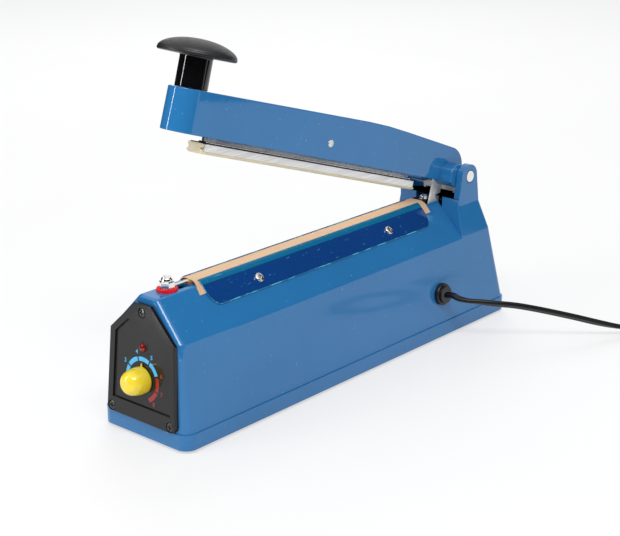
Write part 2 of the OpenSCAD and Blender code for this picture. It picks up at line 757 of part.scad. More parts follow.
module timer_board() color("darkgreen") on_front() difference() {
    translate([board_x, -board_w / 2, board_low]) cube([board_t, board_w, board_high - board_low]);
    for (y = [-1, 1]) translate([0, y * (board_w / 2 - board_hole_in), board_low + board_hole_in])
        bore_x(screw_hole_d);
}

module potentiometer() color("lightgray") on_front() translate([0, 0, dial_h]) difference() {
    union() {
        translate([pot_front, 0, 0]) rod_x(pot_d, board_x - pot_front);
        translate([-panel_t - bushing_out, 0, 0]) rod_x(bushing_d, panel_t + bushing_out + pot_front);
        translate([0, -pot_lug_w / 2, 0]) cube([pot_front, pot_lug_w, pot_lug_h]);
    }
    translate([-through, 0, 0]) rod_x(shaft_d + 2 * pin_fit, through + pot_front + shaft_in + touch);
}

module potentiometer_nut() color("silver") on_front() translate([recess_x, 0, dial_h]) difference() {
    rotate([0, -90, 0]) cylinder(d = pot_nut_d, h = bushing_out, $fn = 6);
    bore_x(bushing_d + touch);
}

module behind_board(at) on_front() translate([board_x + board_t, at[0], at[1]]) children();

module relay() color("royalblue") behind_board(relay_at) cube(relay_size);

module timing_capacitor() color("midnightblue") behind_board(capacitor_at) rod_x(capacitor_d, capacitor_len);

module heat_sink() color("silver") behind_board(sink_at) {
    cube(sink_size);
    for (i = [0:fins - 1]) translate([0, i * (sink_size[1] - fin_t) / (fins - 1), 0])
        cube([fin_out, fin_t, sink_size[2]]);
}

module transformer_core() color("gray") in_core() difference() {
    translate([0, -core_w / 2, 0]) cube([core_l, core_w, core_h]);
    for (x = [core_leg, 4 * core_leg]) translate([x, -core_w, core_leg])
        cube([core_leg, 2 * core_w, core_h - 2 * core_leg]);
}

// Opening of the bobbin and the winding around the core's middle leg
module core_opening() square([2 * core_leg + 2 * touch, core_w + 2 * touch], center = true);

module transformer_bobbin() color("ivory") in_core()
    for (z = [core_leg + touch, core_h - core_leg - bobbin_t - touch]) translate([core_l / 2, 0, z])
        linear_extrude(bobbin_t) difference() {
            square([4 * core_leg - 2 * touch, core_w + 2 * (core_leg - bobbin_in)], center = true);
            core_opening();
        }

module transformer_winding() color("darkgoldenrod") in_core()
    translate([core_l / 2, 0, core_leg + touch + bobbin_t])
        linear_extrude(core_h - 2 * (core_leg + bobbin_t + touch)) difference() {
            half = 2 * core_leg - bobbin_in;
            round_rect(-half, half, core_w + 2 * (core_leg - winding_in), core_leg / 2);
            core_opening();
        }

module transformer_strap() color("lightgray") in_core() difference() {
    along_y(core_w - 2 * strap_in) difference() {
        union() {
            translate([-sheet_t, 0]) square([core_l + 2 * sheet_t, core_h + sheet_t]);
            translate([-strap_foot, 0]) square([core_l + 2 * strap_foot, sheet_t]);
        }
        translate([-touch, -sheet_t]) square([core_l + 2 * touch, core_h + sheet_t + touch]);
    }
    for (x = [-strap_foot / 2, core_l + strap_foot / 2]) translate([x, 0, 0]) bore_z(screw_hole_d);
}

module transformer_screws() color("silver") in_base() at_strap_feet()
    translate([0, 0, floor_h + sheet_t]) pan_screw(screw_head_d, screw_head_h, screw_d, plate_t + sheet_t);

module insulating_strip() color("saddlebrown") in_base()
    translate([cloth_x - strip_over, -strip_w / 2, ridge_h])
        cube([cloth_len + 2 * strip_over, strip_w, strip_h]);

module heating_element() color("silver") in_base() difference() {
    translate([0, 0, ridge_h + strip_h]) linear_extrude(element_t) {
        translate([terminal_x, -element_w / 2]) square([rear_terminal_x - terminal_x, element_w]);
        translate([terminal_x, 0]) circle(d = front_tab_d);
        translate([rear_terminal_x, 0]) circle(d = rear_tab_d);
    }
    translate([terminal_x, 0, 0]) bore_z(stud_d + slip);
    translate([rear_terminal_x, 0, 0]) bore_z(rear_screw_d + slip);
}

module nonstick_cloth() color("tan") in_base() translate([cloth_x, 0, 0]) along_x(cloth_len) {
    under = drape_line(0, cloth_half, 0);
    over = drape_line(0, cloth_half, cloth_t);
    polygon(concat(reverse(flip(under)), under, reverse(over), flip(over)));
}

// A clamp plate follows the cloth, with a lip along the ridge and round lower corners
module clamp_plate() color("navy") in_base() difference() {
    intersection() {
        translate([clamp_x, 0, 0]) mirror([0, 1, 0]) along_x(clamp_len)
            polygon(concat(drape_line(clamp_lip, clamp_reach, clamp_low),
                reverse(drape_line(clamp_lip, clamp_reach, clamp_high))));
        linear_extrude(2 * ridge_h) {
            round_rect(clamp_x, clamp_x + clamp_len, 2 * clamp_reach, clamp_corner_r);
            translate([clamp_x, -clamp_reach / 2]) square([clamp_len, clamp_reach]);
        }
    }
    at_clamp_screws() cylinder(d = screw_hole_d, h = 8 * clamp_t, center = true);
}

module clamp_plate_near() clamp_plate();

module clamp_plate_far() mirror([0, 1, 0]) clamp_plate();

module clamp_screws() color("silver") in_base() at_clamp_screws()
    pan_screw(clamp_head_d, screw_head_h, screw_d, clamp_screw_len);

module terminal_stud() color("silver") in_base()
    translate([terminal_x, 0, inner_ridge_h - stud_head_h - touch]) {
        cylinder(d = stud_d, h = stud_head_h + wall + strip_h + stud_rise);
        cylinder(d = nut_af / cos(30), h = stud_head_h, $fn = 6);
    }

module terminal_washer() color("red") in_base() translate([terminal_x, 0, ridge_h]) difference() {
    cylinder(d = washer_d, h = strip_h);
    bore_z(stud_d + slip);
}

module terminal_nut() color("silver") in_base() difference() {
    translate([terminal_x, 0, ridge_h + strip_h + element_t])
        cylinder(d = nut_af / cos(30), h = nut_h, $fn = 6);
    translate([terminal_x, 0, 0]) bore_z(stud_d + 2 * touch);
}

// The rear end of the heating strip is held on a dark block in the slot, beside the striker's path
module rear_terminal_block() color([0.08, 0.08, 0.08]) in_base() difference() {
    side_y = striker_y + sheet_t / 2 + 1;
    translate([slot_rear_x + slip, side_y, ridge_h + strip_h - rear_block_h])
        cube([block_x - slot_rear_x - 2 * slip, slot_rear_w / 2 - slip - side_y, rear_block_h]);
    translate([rear_terminal_x, 0, 0]) bore_z(rear_screw_d + 2 * touch);
}

module rear_terminal_screw() color("silver") in_base()
    translate([rear_terminal_x, 0, ridge_h + strip_h + element_t])
        pan_screw(rear_tab_d - slip, rear_head_h, rear_screw_d, rear_block_h / 2);

module hinge_pin() color("silver") in_base() translate([pin_x, 0, pin_h])
    rod_y(pin_d, post_gap + 2 * (post_t + pin_out));

module stop_bar() color("silver") in_base() translate([pin_x - stop_t / 2, 0, 0]) along_x(stop_t)
    difference() {
        translate([-stop_half, block_h]) square([2 * stop_half, stop_high - block_h]);
        translate([stop_foot - stop_half, block_h - stop_lift])
            square([2 * (stop_half - stop_foot), 2 * stop_lift]);
    }

module at_switch_screws() {
    for (z = [switch_screw_in, switch_h - switch_screw_in])
        translate([switch_x + switch_screw_x, striker_y, switch_low + z]) children();
}

module switch_bracket() color("silver") in_base() difference() {
    translate([switch_x, striker_y + switch_w / 2, floor_h]) {
        cube([switch_deep, sheet_t, switch_low + switch_h - floor_h]);
        cube([switch_deep, bracket_foot, sheet_t]);
    }
    at_switch_screws() rod_y(switch_screw_d + slip, base_w);
}

module switch_body() color([0.1, 0.1, 0.1]) in_base() difference() {
    union() {
        translate([switch_x, striker_y - switch_w / 2, switch_low]) cube([switch_deep, switch_w, switch_h]);
        // Lugs carry the lever's pivot
        translate([lever_pivot_x, striker_y, lever_pivot_z]) both_sides() translate([0, -lug_y(), 0])
            along_y(switch_w / 2 - lever_w / 2 - lug_gap) {
                circle(lug_r);
                translate([0, -lug_r]) square([switch_x - lever_pivot_x, 2 * lug_r]);
            }
    }
    translate([lever_pivot_x, striker_y, plunger_z])
        rod_x(plunger_d + slip, switch_x - lever_pivot_x + plunger_room);
    at_switch_screws() rod_y(switch_screw_d + slip, base_w);
}
function lug_y() = (switch_w / 2 + lever_w / 2 + lug_gap) / 2;

module switch_screws() color("silver") in_base() at_switch_screws()
    translate([0, -switch_w / 2, 0]) rotate([90, 0, 0])
        pan_screw(2 * switch_screw_d, switch_screw_d / 2, switch_screw_d, switch_w + 2 * sheet_t);

module switch_lever() color("silver") in_base() translate([lever_pivot_x, striker_y, lever_pivot_z]) {
    rod_y(lever_pivot_d, lever_w);
    rotate([0, -lever_lean, 0]) {
        translate([-lever_t / 2, -lever_w / 2, 0]) cube([lever_t, lever_w, lever_len]);
        translate([0, 0, lever_len]) rod_y(lever_tip_d, lever_w);
    }
}

module switch_plunger() color("red") in_base() translate([plunger_x, striker_y, plunger_z])
    rod_x(plunger_d, switch_x - plunger_x + plunger_in);

// The return spring pulls the striker's tab towards this post
module spring_anchor() color("silver") in_base() difference() {
    translate([anchor_x - sheet_t / 2, striker_y - anchor_w / 2, floor_h]) {
        cube([sheet_t, anchor_w, spring_z + anchor_over - floor_h]);
        translate([sheet_t - anchor_w, 0, 0]) cube([anchor_w, anchor_w, sheet_t]);
    }
    translate([anchor_x - anchor_w / 2, striker_y, spring_z]) rod_x(tab_hole_d, anchor_w);
}

// A tube of flat-sided rings, closed at both ends
module ring_tube(rings) {
    sides = len(rings[0]);
    last = (len(rings) - 1) * sides;
    skin = [for (a0 = [0:sides:last - sides], j = [0:sides - 1]) let (a = a0 + j, b = a0 + (j + 1) % sides)
        each [[a, a + sides, b], [b, a + sides, b + sides]]];
    caps = [for (j = [1:sides - 2]) each [[0, j, j + 1], [last, last + j + 1, last + j]]];
    polyhedron([for (r = rings) each r], concat(skin, caps));
}

// Rings square to a path: level ones of half-sizes a and b, or round ones carried along from the first
function path_dir(p, i) = unit(p[min(i + 1, len(p) - 1)] - p[max(i - 1, 0)]);
function ring(c, s, u, sides) = [for (j = [0:sides - 1]) let (a = 360 * j / sides)
    c + s * cos(a) + u * sin(a)];
function level_ring(c, d, a, b, sides) = let (s = unit(cross(d, [0, 0, 1])))
    ring(c, a * s, b * cross(s, d), sides);
function level_rings(p, a, b, sides) = [for (i = [0:len(p) - 1])
    level_ring(p[i], path_dir(p, i), a, b, sides)];
function square_to(u, d) = unit(u - d * (u * d));
function carried_rings(p, r, sides) = [for (i = 0, u = square_to([0, 0, 1], path_dir(p, 0)); i < len(p);
    i = i + 1, u = i < len(p) ? square_to(u, path_dir(p, i)) : u)
    ring(p[i], r * cross(path_dir(p, i), u), r * u, sides)];
function least_gap(rings, apart) = min([for (i = [0:len(rings) - 1], j = [i + apart:1:len(rings) - 1],
    p = rings[i], q = rings[j]) norm(p - q)]);

// The spring's wire runs in along its axis, opens into curls and closes back onto the axis
function spring_radius(i) = spring_d / 2 * min(1, i / 6, (spring_rings - i) / 6);
function spring_point(i) = let (a = 360 * i / curl_rings, r = spring_radius(i))
    [spring_tail + spring_pitch * i / curl_rings, r * cos(a), r * sin(a)];

module return_spring() color("silver") in_base() translate([anchor_x, striker_y, spring_z]) {
    far = 2 * spring_tail + spring_len;
    straight = 2 * spring_wire;
    path = concat([[-spring_tail / 2, 0, 0], [spring_tail - straight, 0, 0]],
        [for (i = [0:spring_rings]) spring_point(i)],
        [[far - spring_tail + straight, 0, 0], [far + spring_tail / 2, 0, 0]]);
    rings = carried_rings(path, spring_wire / 2, 6);
    echo(str("return spring, least gap to itself: ", least_gap(rings, curl_rings - 2), " mm"));
    ring_tube(rings);
}

module cord_gland() color([0.07, 0.07, 0.07]) in_base() lean_wall() difference() {
    union() {
        translate([0, 0, -wall - gland_neck_in])
            cylinder(d = gland_neck_d, h = wall + gland_neck_in + gland_out / 2);
        translate([0, 0, touch]) rotate_extrude() polygon([[0, 0], [gland_d / 2, 0],
            [gland_d / 2, gland_collar - gland_edge], [gland_d / 2 - gland_edge, gland_collar],
            [gland_d / 2 - gland_rim, gland_collar], [gland_d / 2 - gland_rim, gland_out], [0, gland_out]]);
    }
    linear_extrude(through, center = true)
        round_rect(-cord_w / 2 - 2 * touch, cord_w / 2 + 2 * touch, cord_t + 4 * touch, cord_t / 2);
}

// Side of the arm, drawn level with its origin on the pin
module arm_side() {
    tail_c = [arm_tail - arm_tail_r, arm_top_tail - arm_tail_r + 1];
    polygon(concat([[-arm_reach, -arm_drop], [arm_tail, -arm_drop]], arc(tail_c, arm_tail_r, 0, 84, 10),
        [[-arm_bend_at + arm_bend_half, arm_top_bend - 1.3], [-arm_bend_at, arm_top_bend - 0.15],
        [-arm_bend_at - arm_bend_half, arm_top_bend], [-arm_reach, arm_top_nose]]));
}

module arm_plan(inset, tail) {
    translate([-arm_reach + nose_r, 0]) circle(nose_r - inset);
    translate([-arm_reach + nose_r, -nose_r + inset]) square([arm_reach - nose_r + tail, arm_w - 2 * inset]);
}

module ear_side() {
    translate([-ear_ahead + ear_r, -arm_drop]) square([ear_ahead - ear_r, arm_drop + ear_h]);
    translate([-ear_ahead, -arm_drop]) square([ear_ahead, arm_drop + ear_h - ear_r]);
    translate([-ear_ahead + ear_r, ear_h - ear_r]) circle(ear_r);
    intersection() {
        circle(arm_drop);
        translate([-arm_drop, -arm_drop]) square([2 * arm_drop, arm_drop + ear_h]);
    }
}

module arm_shell() color("steelblue") in_arm() difference() {
    union() {
        intersection() {
            along_y(arm_w) arm_side();
            linear_extrude(through, center = true) arm_plan(0, 2 * arm_tail);
        }
        along_y(2 * ear_half) ear_side();
    }
    // Channel for the press bar, open downwards
    intersection() {
        translate([0, 0, -arm_wall]) along_y(arm_w) arm_side();
        linear_extrude(through, center = true) arm_plan(arm_wall, -hollow_end);
    }
    rod_y(bush_d, through);
    translate([rivet_u, 0, rivet_up]) rod_y(rivet_d + 2 * touch, through);
    seat_knob() bore_z(knob_screw_d + slip);
    // Seat of the striker's flange
    translate([striker_u - slip, striker_y - sheet_t / 2 - slip, -2 * arm_drop])
        cube([striker_w + 2 * slip, striker_flange + 2 * slip, arm_drop + sheet_t + touch]);
}

module hinge_bushes() color("goldenrod") in_arm() both_sides()
    translate([0, -ear_half + bush_len / 2, 0]) difference() {
        rod_y(bush_d - 2 * bush_fit, bush_len);
        rod_y(pin_d + 2 * pin_fit, through);
    }

// The knob stands square to the arm's sloping top
module seat_knob() translate([knob_u, 0, arm_top_at(knob_u)])
    rotate([0, -atan((arm_top_bend - arm_top_nose) / arm_top_run), 0]) children();

module arm_knob() color([0.12, 0.12, 0.13]) in_arm() seat_knob() difference() {
    rim_r = 1.2;
    rotate_extrude() polygon(concat(
        [[0, touch], [stem_d / 2, touch], [stem_d / 2, stem_h - rim_r]],
        [[stem_d / 2 + rim_r, stem_h - rim_r / 3]],
        arc([cap_d / 2 - rim_r, stem_h + rim_r / 4], rim_r, -90, 40, 6),
        [for (i = [1:14]) let (a = mix(18, 90, i / 14)) [cap_d / 2 * cos(a), stem_h + cap_h * sin(a)]]));
    cylinder(d = knob_screw_d + 2 * touch, h = 2 * (knob_screw_in + 1), center = true);
}

module knob_screw() color("silver") in_arm() seat_knob() translate([0, 0, -arm_wall - touch]) mirror([0, 0, 1])
    pan_screw(knob_head_d, knob_head_h, knob_screw_d, arm_wall + knob_screw_in);

module bar_rivet() color("silver") in_arm() translate([rivet_u, 0, rivet_up]) rod_y(rivet_d, arm_w + pin_out);

module carrier_rail() color("gainsboro") in_arm() difference() {
    translate([bar_u + rail_in, 0, rail_low]) union() {
        translate([0, -rail_t / 2, 0]) cube([bar_len - rail_in, rail_t, rail_top - rail_low]);
        translate([0, -rail_foot_w / 2, 0]) cube([bar_len - rail_in, rail_foot_w, rail_foot_t]);
    }
    translate([rivet_u, 0, rivet_up]) rod_y(rivet_d + slip, through);
}

module cushion_strip() color([0.05, 0.05, 0.05]) in_arm()
    translate([bar_u + cushion_in, -bar_w / 2 + cushion_in, cushion_low])
        cube([bar_len - 2 * cushion_in, bar_w - 2 * cushion_in, cushion_t]);

// The channel's lips grip the silicone by the grooves along its sides
module press_channel() color("gainsboro") in_arm() translate([bar_u, 0, channel_low]) along_x(bar_len)
    difference() {
        room = bar_w - 2 * channel_t;
        mouth = bar_w - 2 * channel_lip;
        translate([-bar_w / 2, 0]) square([bar_w, channel_h]);
        translate([-room / 2, channel_t]) square([room, channel_h - 2 * channel_t]);
        translate([-mouth / 2, -channel_t]) square([mouth, 3 * channel_t]);
    }

module silicone_strip() color("cornsilk") in_arm() translate([bar_u - silicone_over, 0, 0])
    along_x(bar_len + silicone_over + silicone_rear) {
        half = bar_w / 2;
        neck = half - channel_lip - groove;
        flange = half - channel_t - groove;
        flange_low = channel_low + channel_t + groove;
        flange_high = channel_low + channel_h - channel_t - groove;
        polygon(whole([[half - silicone_bevel[0], silicone_low], [half, silicone_low + silicone_bevel[1]],
            [half, channel_low - touch], [neck, channel_low - touch], [neck, flange_low], [flange, flange_low],
            [flange, flange_high]]));
    }

// The spring's tab stands upright while the arm is open
module in_tab() translate([tab_u, striker_y, tab_v]) rotate([0, -arm_open, 0]) children();

// Bent steel strip: a flange under the arm, a leg into the base and a tab for the spring
module striker() color("silver") in_arm() difference() {
    union() {
        translate([striker_u, striker_y - sheet_t / 2, -arm_drop]) cube([striker_w, striker_flange, sheet_t]);
        translate([striker_u, striker_y - sheet_t / 2, -arm_drop - striker_len])
            cube([striker_w, sheet_t, striker_len + sheet_t]);
        in_tab() translate([-sheet_t / 2, -tab_size / 2, -tab_size / 2]) cube([sheet_t, tab_size, tab_size]);
    }
    in_tab() translate([-tab_size, 0, 0]) rod_x(tab_hole_d, 2 * tab_size);
}

module on_dial() on_front() translate([recess_x - knob_gap, 0, dial_h]) rotate([0, -90, 0]) children();

module timer_knob() color("gold") on_dial() difference() {
    union() {
        rotate_extrude() polygon(concat([[0, 0], [timer_d / 2, 0]],
            [for (i = [0:12]) let (a = mix(8, 90, i / 12))
                [timer_d / 2 * pow(cos(a), knob_blunt), mix(knob_rim, timer_len, sin(a))]]));
        // Pointer on the rim, standing straight up
        linear_extrude(pointer_h) polygon([[0, -pointer_w / 2], [timer_d / 2 + pointer_out, -pointer_w / 16],
            [timer_d / 2 + pointer_out, pointer_w / 16], [0, pointer_w / 2]]);
    }
    cylinder(d = knob_hollow_d, h = 2 * knob_top, center = true);
    cylinder(d = shaft_d + touch, h = 2 * (timer_len - knob_top), center = true);
}

module potentiometer_shaft() color("silver") on_front()
    translate([recess_x - knob_gap - timer_len + knob_top + touch, 0, dial_h])
        rod_x(shaft_d, timer_len - knob_top + knob_gap - recess_x + pot_front + shaft_in - touch);

function cord_point(c) = [gland_face[0] + c[0], gland_face[1] + c[1], mix(gland_face[2], coil_z, c[2])];

module power_cord() color([0.05, 0.05, 0.05]) ring_tube(level_rings(cord_route, cord_w / 2, cord_t / 2, 8));

// The cord's spare length spirals in on the floor, climbs, and spirals out again on top
function coil_radius(i) = i <= coil_half ? coil_r - coil_step * i / loop_rings
    : i <= coil_half + coil_climb ? coil_inner_r
    : coil_r - coil_step * (2 * coil_half + coil_climb - i) / loop_rings;
function coil_up(i) = coil_z + coil_rise * max(0, min(1, (i - coil_half) / coil_climb));
function coil_point(i) = let (a = coil_start - 360 * i / loop_rings)
    [coil_centre[0] + coil_radius(i) * cos(a), coil_centre[1] + coil_radius(i) * sin(a), coil_up(i)];

module cord_coil() color([0.05, 0.05, 0.05]) {
    path = concat(coil_path, [coil_end + coil_exit * coil_tail / 2, plug_from]);
    rings = level_rings(path, cord_w / 2, cord_t / 2, 6);
    echo(str("cord coil, least gap to itself: ", least_gap(rings, 16), " mm"));
    ring_tube(rings);
}

module cord_tie() color([0.1, 0.1, 0.1]) translate([coil_centre[0], coil_centre[1], 0]) rotate([0, 0, tie_at])
    along_y(tie_w) difference() {
        x0 = coil_inner_r - cord_w / 2 - 2 * tie_room;
        x1 = coil_r + cord_w / 2 + 2 * tie_room;
        z0 = coil_z - cord_t / 2 - tie_room;
        z1 = coil_z + coil_rise + cord_t / 2 + tie_room;
        translate([x0 - tie_t, z0 - tie_t]) square([x1 - x0 + 2 * tie_t, z1 - z0 + 2 * tie_t]);
        translate([x0, z0]) square([x1 - x0, z1 - z0]);
    }

// The plug lies beside the coil, in line with the end of the cord
module in_plug() translate(plug_from) rotate([0, 0, atan2(coil_exit[1], coil_exit[0])]) children();

module plug_body() color([0.06, 0.06, 0.06]) in_plug() difference() {
    intersection() {
        translate([0, 0, -plug_h / 2]) linear_extrude(plug_h) mirror([1, -1])
            polygon(whole([[plug_neck_w / 2, 0], [plug_neck_w * 0.65, plug_neck_len],
                [plug_w / 4, plug_neck_len * 1.6], [plug_w / 2, plug_len - plug_face_len],
                [plug_w / 2, plug_len]]));
        along_y(2 * plug_w) mirror([1, -1])
            polygon(whole([[plug_neck_w / 2, 0], [plug_h / 2, plug_neck_len * 1.4], [plug_h / 2, plug_len]]));
    }
    for (y = [-1, 1]) translate([plug_len - plug_pin_in, y * plug_pin_pitch / 2, 0])
        rod_x(plug_pin_d, plug_len);
}

module plug_pins() color("silver") in_plug() for (y = [-1, 1])
    translate([plug_len - plug_pin_in + touch, y * plug_pin_pitch / 2, 0])
        rod_x(plug_pin_d - touch, plug_pin_len + plug_pin_in);

base_housing();
bottom_plate();
bottom_screws();
rubber_feet();
front_panel();
panel_screws();
indicator_lens();
timer_board();
potentiometer();
potentiometer_nut();
relay();
timing_capacitor();
heat_sink();
transformer_core();
transformer_bobbin();
transformer_winding();
transformer_strap();
transformer_screws();
insulating_strip();
heating_element();
nonstick_cloth();
clamp_plate_near();
clamp_plate_far();
clamp_screws();
terminal_stud();
terminal_washer();
terminal_nut();
rear_terminal_block();
rear_terminal_screw();
hinge_pin();
stop_bar();
switch_bracket();
switch_body();
switch_screws();
spring_anchor();
return_spring();
cord_gland();
arm_shell();
hinge_bushes();
arm_knob();
knob_screw();
bar_rivet();
carrier_rail();
cushion_strip();
press_channel();
silicone_strip();
striker();
timer_knob();
potentiometer_shaft();
switch_lever();
switch_plunger();
power_cord();
cord_coil();
cord_tie();
plug_body();
plug_pins();
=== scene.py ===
import json
import math

import bmesh
import bpy
from mathutils import Matrix, Vector

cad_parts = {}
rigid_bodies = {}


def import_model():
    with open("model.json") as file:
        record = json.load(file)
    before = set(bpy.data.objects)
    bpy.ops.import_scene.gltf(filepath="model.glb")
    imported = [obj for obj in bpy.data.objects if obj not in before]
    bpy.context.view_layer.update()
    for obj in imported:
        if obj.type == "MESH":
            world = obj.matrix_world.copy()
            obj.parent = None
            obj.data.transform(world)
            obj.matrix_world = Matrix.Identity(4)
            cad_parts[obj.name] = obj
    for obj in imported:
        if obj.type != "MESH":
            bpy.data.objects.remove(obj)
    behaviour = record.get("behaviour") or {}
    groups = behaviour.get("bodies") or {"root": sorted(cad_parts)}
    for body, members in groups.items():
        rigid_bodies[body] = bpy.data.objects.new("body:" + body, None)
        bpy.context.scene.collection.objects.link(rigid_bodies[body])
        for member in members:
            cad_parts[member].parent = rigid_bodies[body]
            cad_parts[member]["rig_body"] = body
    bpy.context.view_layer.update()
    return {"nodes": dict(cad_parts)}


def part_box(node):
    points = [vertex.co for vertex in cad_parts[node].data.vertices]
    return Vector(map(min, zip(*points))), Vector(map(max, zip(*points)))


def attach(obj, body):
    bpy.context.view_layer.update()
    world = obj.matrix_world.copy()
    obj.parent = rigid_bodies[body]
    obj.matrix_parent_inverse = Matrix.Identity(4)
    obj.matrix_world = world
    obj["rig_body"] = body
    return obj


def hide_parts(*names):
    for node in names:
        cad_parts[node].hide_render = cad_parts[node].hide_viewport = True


MM = 0.001
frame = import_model()
nodes = frame["nodes"]
scene = bpy.context.scene
scene.view_settings.view_transform = "Standard"

# Places are in millimetres from the middle of the base's lower edge.
base_lo, base_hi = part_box("base_housing")
base_x = (base_lo.x + base_hi.x) / 2


def at(x, y, z):
    return Vector((base_x + x * MM, y * MM, base_lo.z + z * MM))


def turn_y(degrees):
    return Matrix.Rotation(math.radians(degrees), 4, "Y")


def shift(x, y, z):
    return Matrix.Translation(Vector((x, y, z)) * MM)


ARM_OPEN = 17.9
PIN_X = 125.6
PIN_H = 102.2
PIN = at(PIN_X, 0, PIN_H)
ARM = Matrix.Translation(PIN) @ turn_y(ARM_OPEN)
FRONT = Matrix.Translation(at(-159.619, 0, 0)) @ turn_y(3.65)
RECESS = -1.8
DIAL_H = 35.6
BLOCK_CREASE_H = 83.2
BLOCK_HALF_W = 25
LIP_HALF_W = 9
ARC_IN = 11.2
ARC_OUT = 13.8
NUMERAL_R = 16.7
NUMERAL_END_R = 16.1
NUMERAL_SHIFT = {1: -12, 7: 4, 8: 12}


# Camera
def look(location, target):
    return (target - location).to_track_quat("-Z", "Y").to_euler()


camera = bpy.data.objects.new("camera", bpy.data.cameras.new("camera"))
scene.collection.objects.link(camera)
camera.data.lens = 89.51
camera.data.sensor_width = 36
camera.data.clip_start = 0.05
camera.location = at(-712.85, -613.0, 384.97)
camera.rotation_euler = look(camera.location, at(-12.34, 0, 65.86))
scene.camera = camera


# Materials
def blank(name, **sockets):
    mat = bpy.data.materials.new(name)
    mat.use_nodes = True
    shader = mat.node_tree.nodes["Principled BSDF"]
    for key, value in sockets.items():
        shader.inputs[key.replace("_", " ")].default_value = value
    return mat, shader


def add(mat, kind, **settings):
    node = mat.node_tree.nodes.new(kind)
    for key, value in settings.items():
        setattr(node, key, value)
    return node


def link(mat, a, b):
    mat.node_tree.links.new(a, b)


def noise(mat, scale, stretch=(1, 1, 1), detail=3.0, rough=0.55):
    """Noise over the piece's own coordinates; a larger stretch packs it along that axis."""
    coord = add(mat, "ShaderNodeTexCoord")
    mapping = add(mat, "ShaderNodeMapping")
    mapping.inputs["Scale"].default_value = stretch
    node = add(mat, "ShaderNodeTexNoise")
    node.inputs["Scale"].default_value = scale
    node.inputs["Detail"].default_value = detail
    node.inputs["Roughness"].default_value = rough
    link(mat, coord.outputs["Object"], mapping.inputs["Vector"])
    link(mat, mapping.outputs["Vector"], node.inputs["Vector"])
    return node.outputs["Fac"]


def ramp(mat, fac, *stops):
    node = add(mat, "ShaderNodeValToRGB")
    points = node.color_ramp.elements
    while len(points) < len(stops):
        points.new(0.5)
    for point, (place, colour) in zip(points, stops):
        point.position = place
        point.color = (*colour, 1) if len(colour) == 3 else colour
    link(mat, fac, node.inputs["Fac"])
    return node.outputs["Color"]


def spread(mat, fac, low, high, out_low, out_high):
    node = add(mat, "ShaderNodeMapRange")
    for key, value in zip(("From Min", "From Max", "To Min", "To Max"), (low, high, out_low, out_high)):
        node.inputs[key].default_value = value
    link(mat, fac, node.inputs["Value"])
    return node.outputs["Result"]


def blend(mat, fac, a, b):
    node = add(mat, "ShaderNodeMix", data_type="RGBA")
    for index, value in ((0, fac), (6, a), (7, b)):
        if isinstance(value, tuple):
            node.inputs[index].default_value = (*value, 1)
        else:
            link(mat, value, node.inputs[index])
    return node.outputs[2]


def bump(mat, shader, height, strength, distance):
    node = add(mat, "ShaderNodeBump")
    node.inputs["Strength"].default_value = strength
    node.inputs["Distance"].default_value = distance
    link(mat, height, node.inputs["Height"])
    link(mat, node.outputs["Normal"], shader.inputs["Normal"])


def shade(colour, amount):
    return tuple(min(1, c * amount) for c in colour)


def surface(name, colour, rough, vary=0.08, scale=60, stretch=(1, 1, 1), grain=0.05, grain_scale=900, **sockets):
    """A plain material with uneven colour and gloss and a fine grain."""
    mat, shader = blank(name, **sockets)
    patch = noise(mat, scale, stretch)
    link(mat, ramp(mat, patch, (0.3, shade(colour, 1 - vary)), (0.7, shade(colour, 1 + vary))), shader.inputs["Base Color"])
    link(mat, spread(mat, noise(mat, scale * 3, stretch), 0.3, 0.7, rough * 0.85, rough * 1.15), shader.inputs["Roughness"])
    bump(mat, shader, noise(mat, grain_scale, stretch), grain, 0.0004)
    return mat


def enamel(name, colour, worn, rough, peel=0.04, scuffs=0.69, streak=(0.12, 1, 1), **sockets):
    """Sprayed enamel: slow drift of colour, orange peel, specks of dust and a few scuffs."""
    mat, shader = blank(name, **sockets)
    drift = ramp(mat, noise(mat, 14), (0.3, shade(colour, 0.95)), (0.7, shade(colour, 1.05)))
    specks = spread(mat, noise(mat, 700, detail=1), 0.76, 0.8, 0, 0.6)
    marks = spread(mat, noise(mat, 300, streak, detail=5), scuffs, scuffs + 0.05, 0, 0.45)
    marked = blend(mat, marks, drift, worn)
    link(mat, blend(mat, specks, marked, worn), shader.inputs["Base Color"])
    link(mat, spread(mat, noise(mat, 45, detail=5), 0.3, 0.7, rough * 0.8, rough * 1.25), shader.inputs["Roughness"])
    bump(mat, shader, noise(mat, 420, detail=1), peel, 0.0005)
    return mat


def metal(name, colour, rough, stretch=(0.04, 1, 1), scale=900, vary=0.12, grain=0.12, metallic=1.0):
    mat, shader = blank(name, Metallic=metallic)
    lines = noise(mat, scale, stretch, detail=2)
    link(mat, ramp(mat, lines, (0.3, shade(colour, 1 - vary)), (0.7, shade(colour, 1 + vary))), shader.inputs["Base Color"])
    link(mat, spread(mat, noise(mat, scale / 6, stretch), 0.3, 0.7, rough * 0.75, rough * 1.25), shader.inputs["Roughness"])
    bump(mat, shader, lines, grain, 0.0002)
    return mat


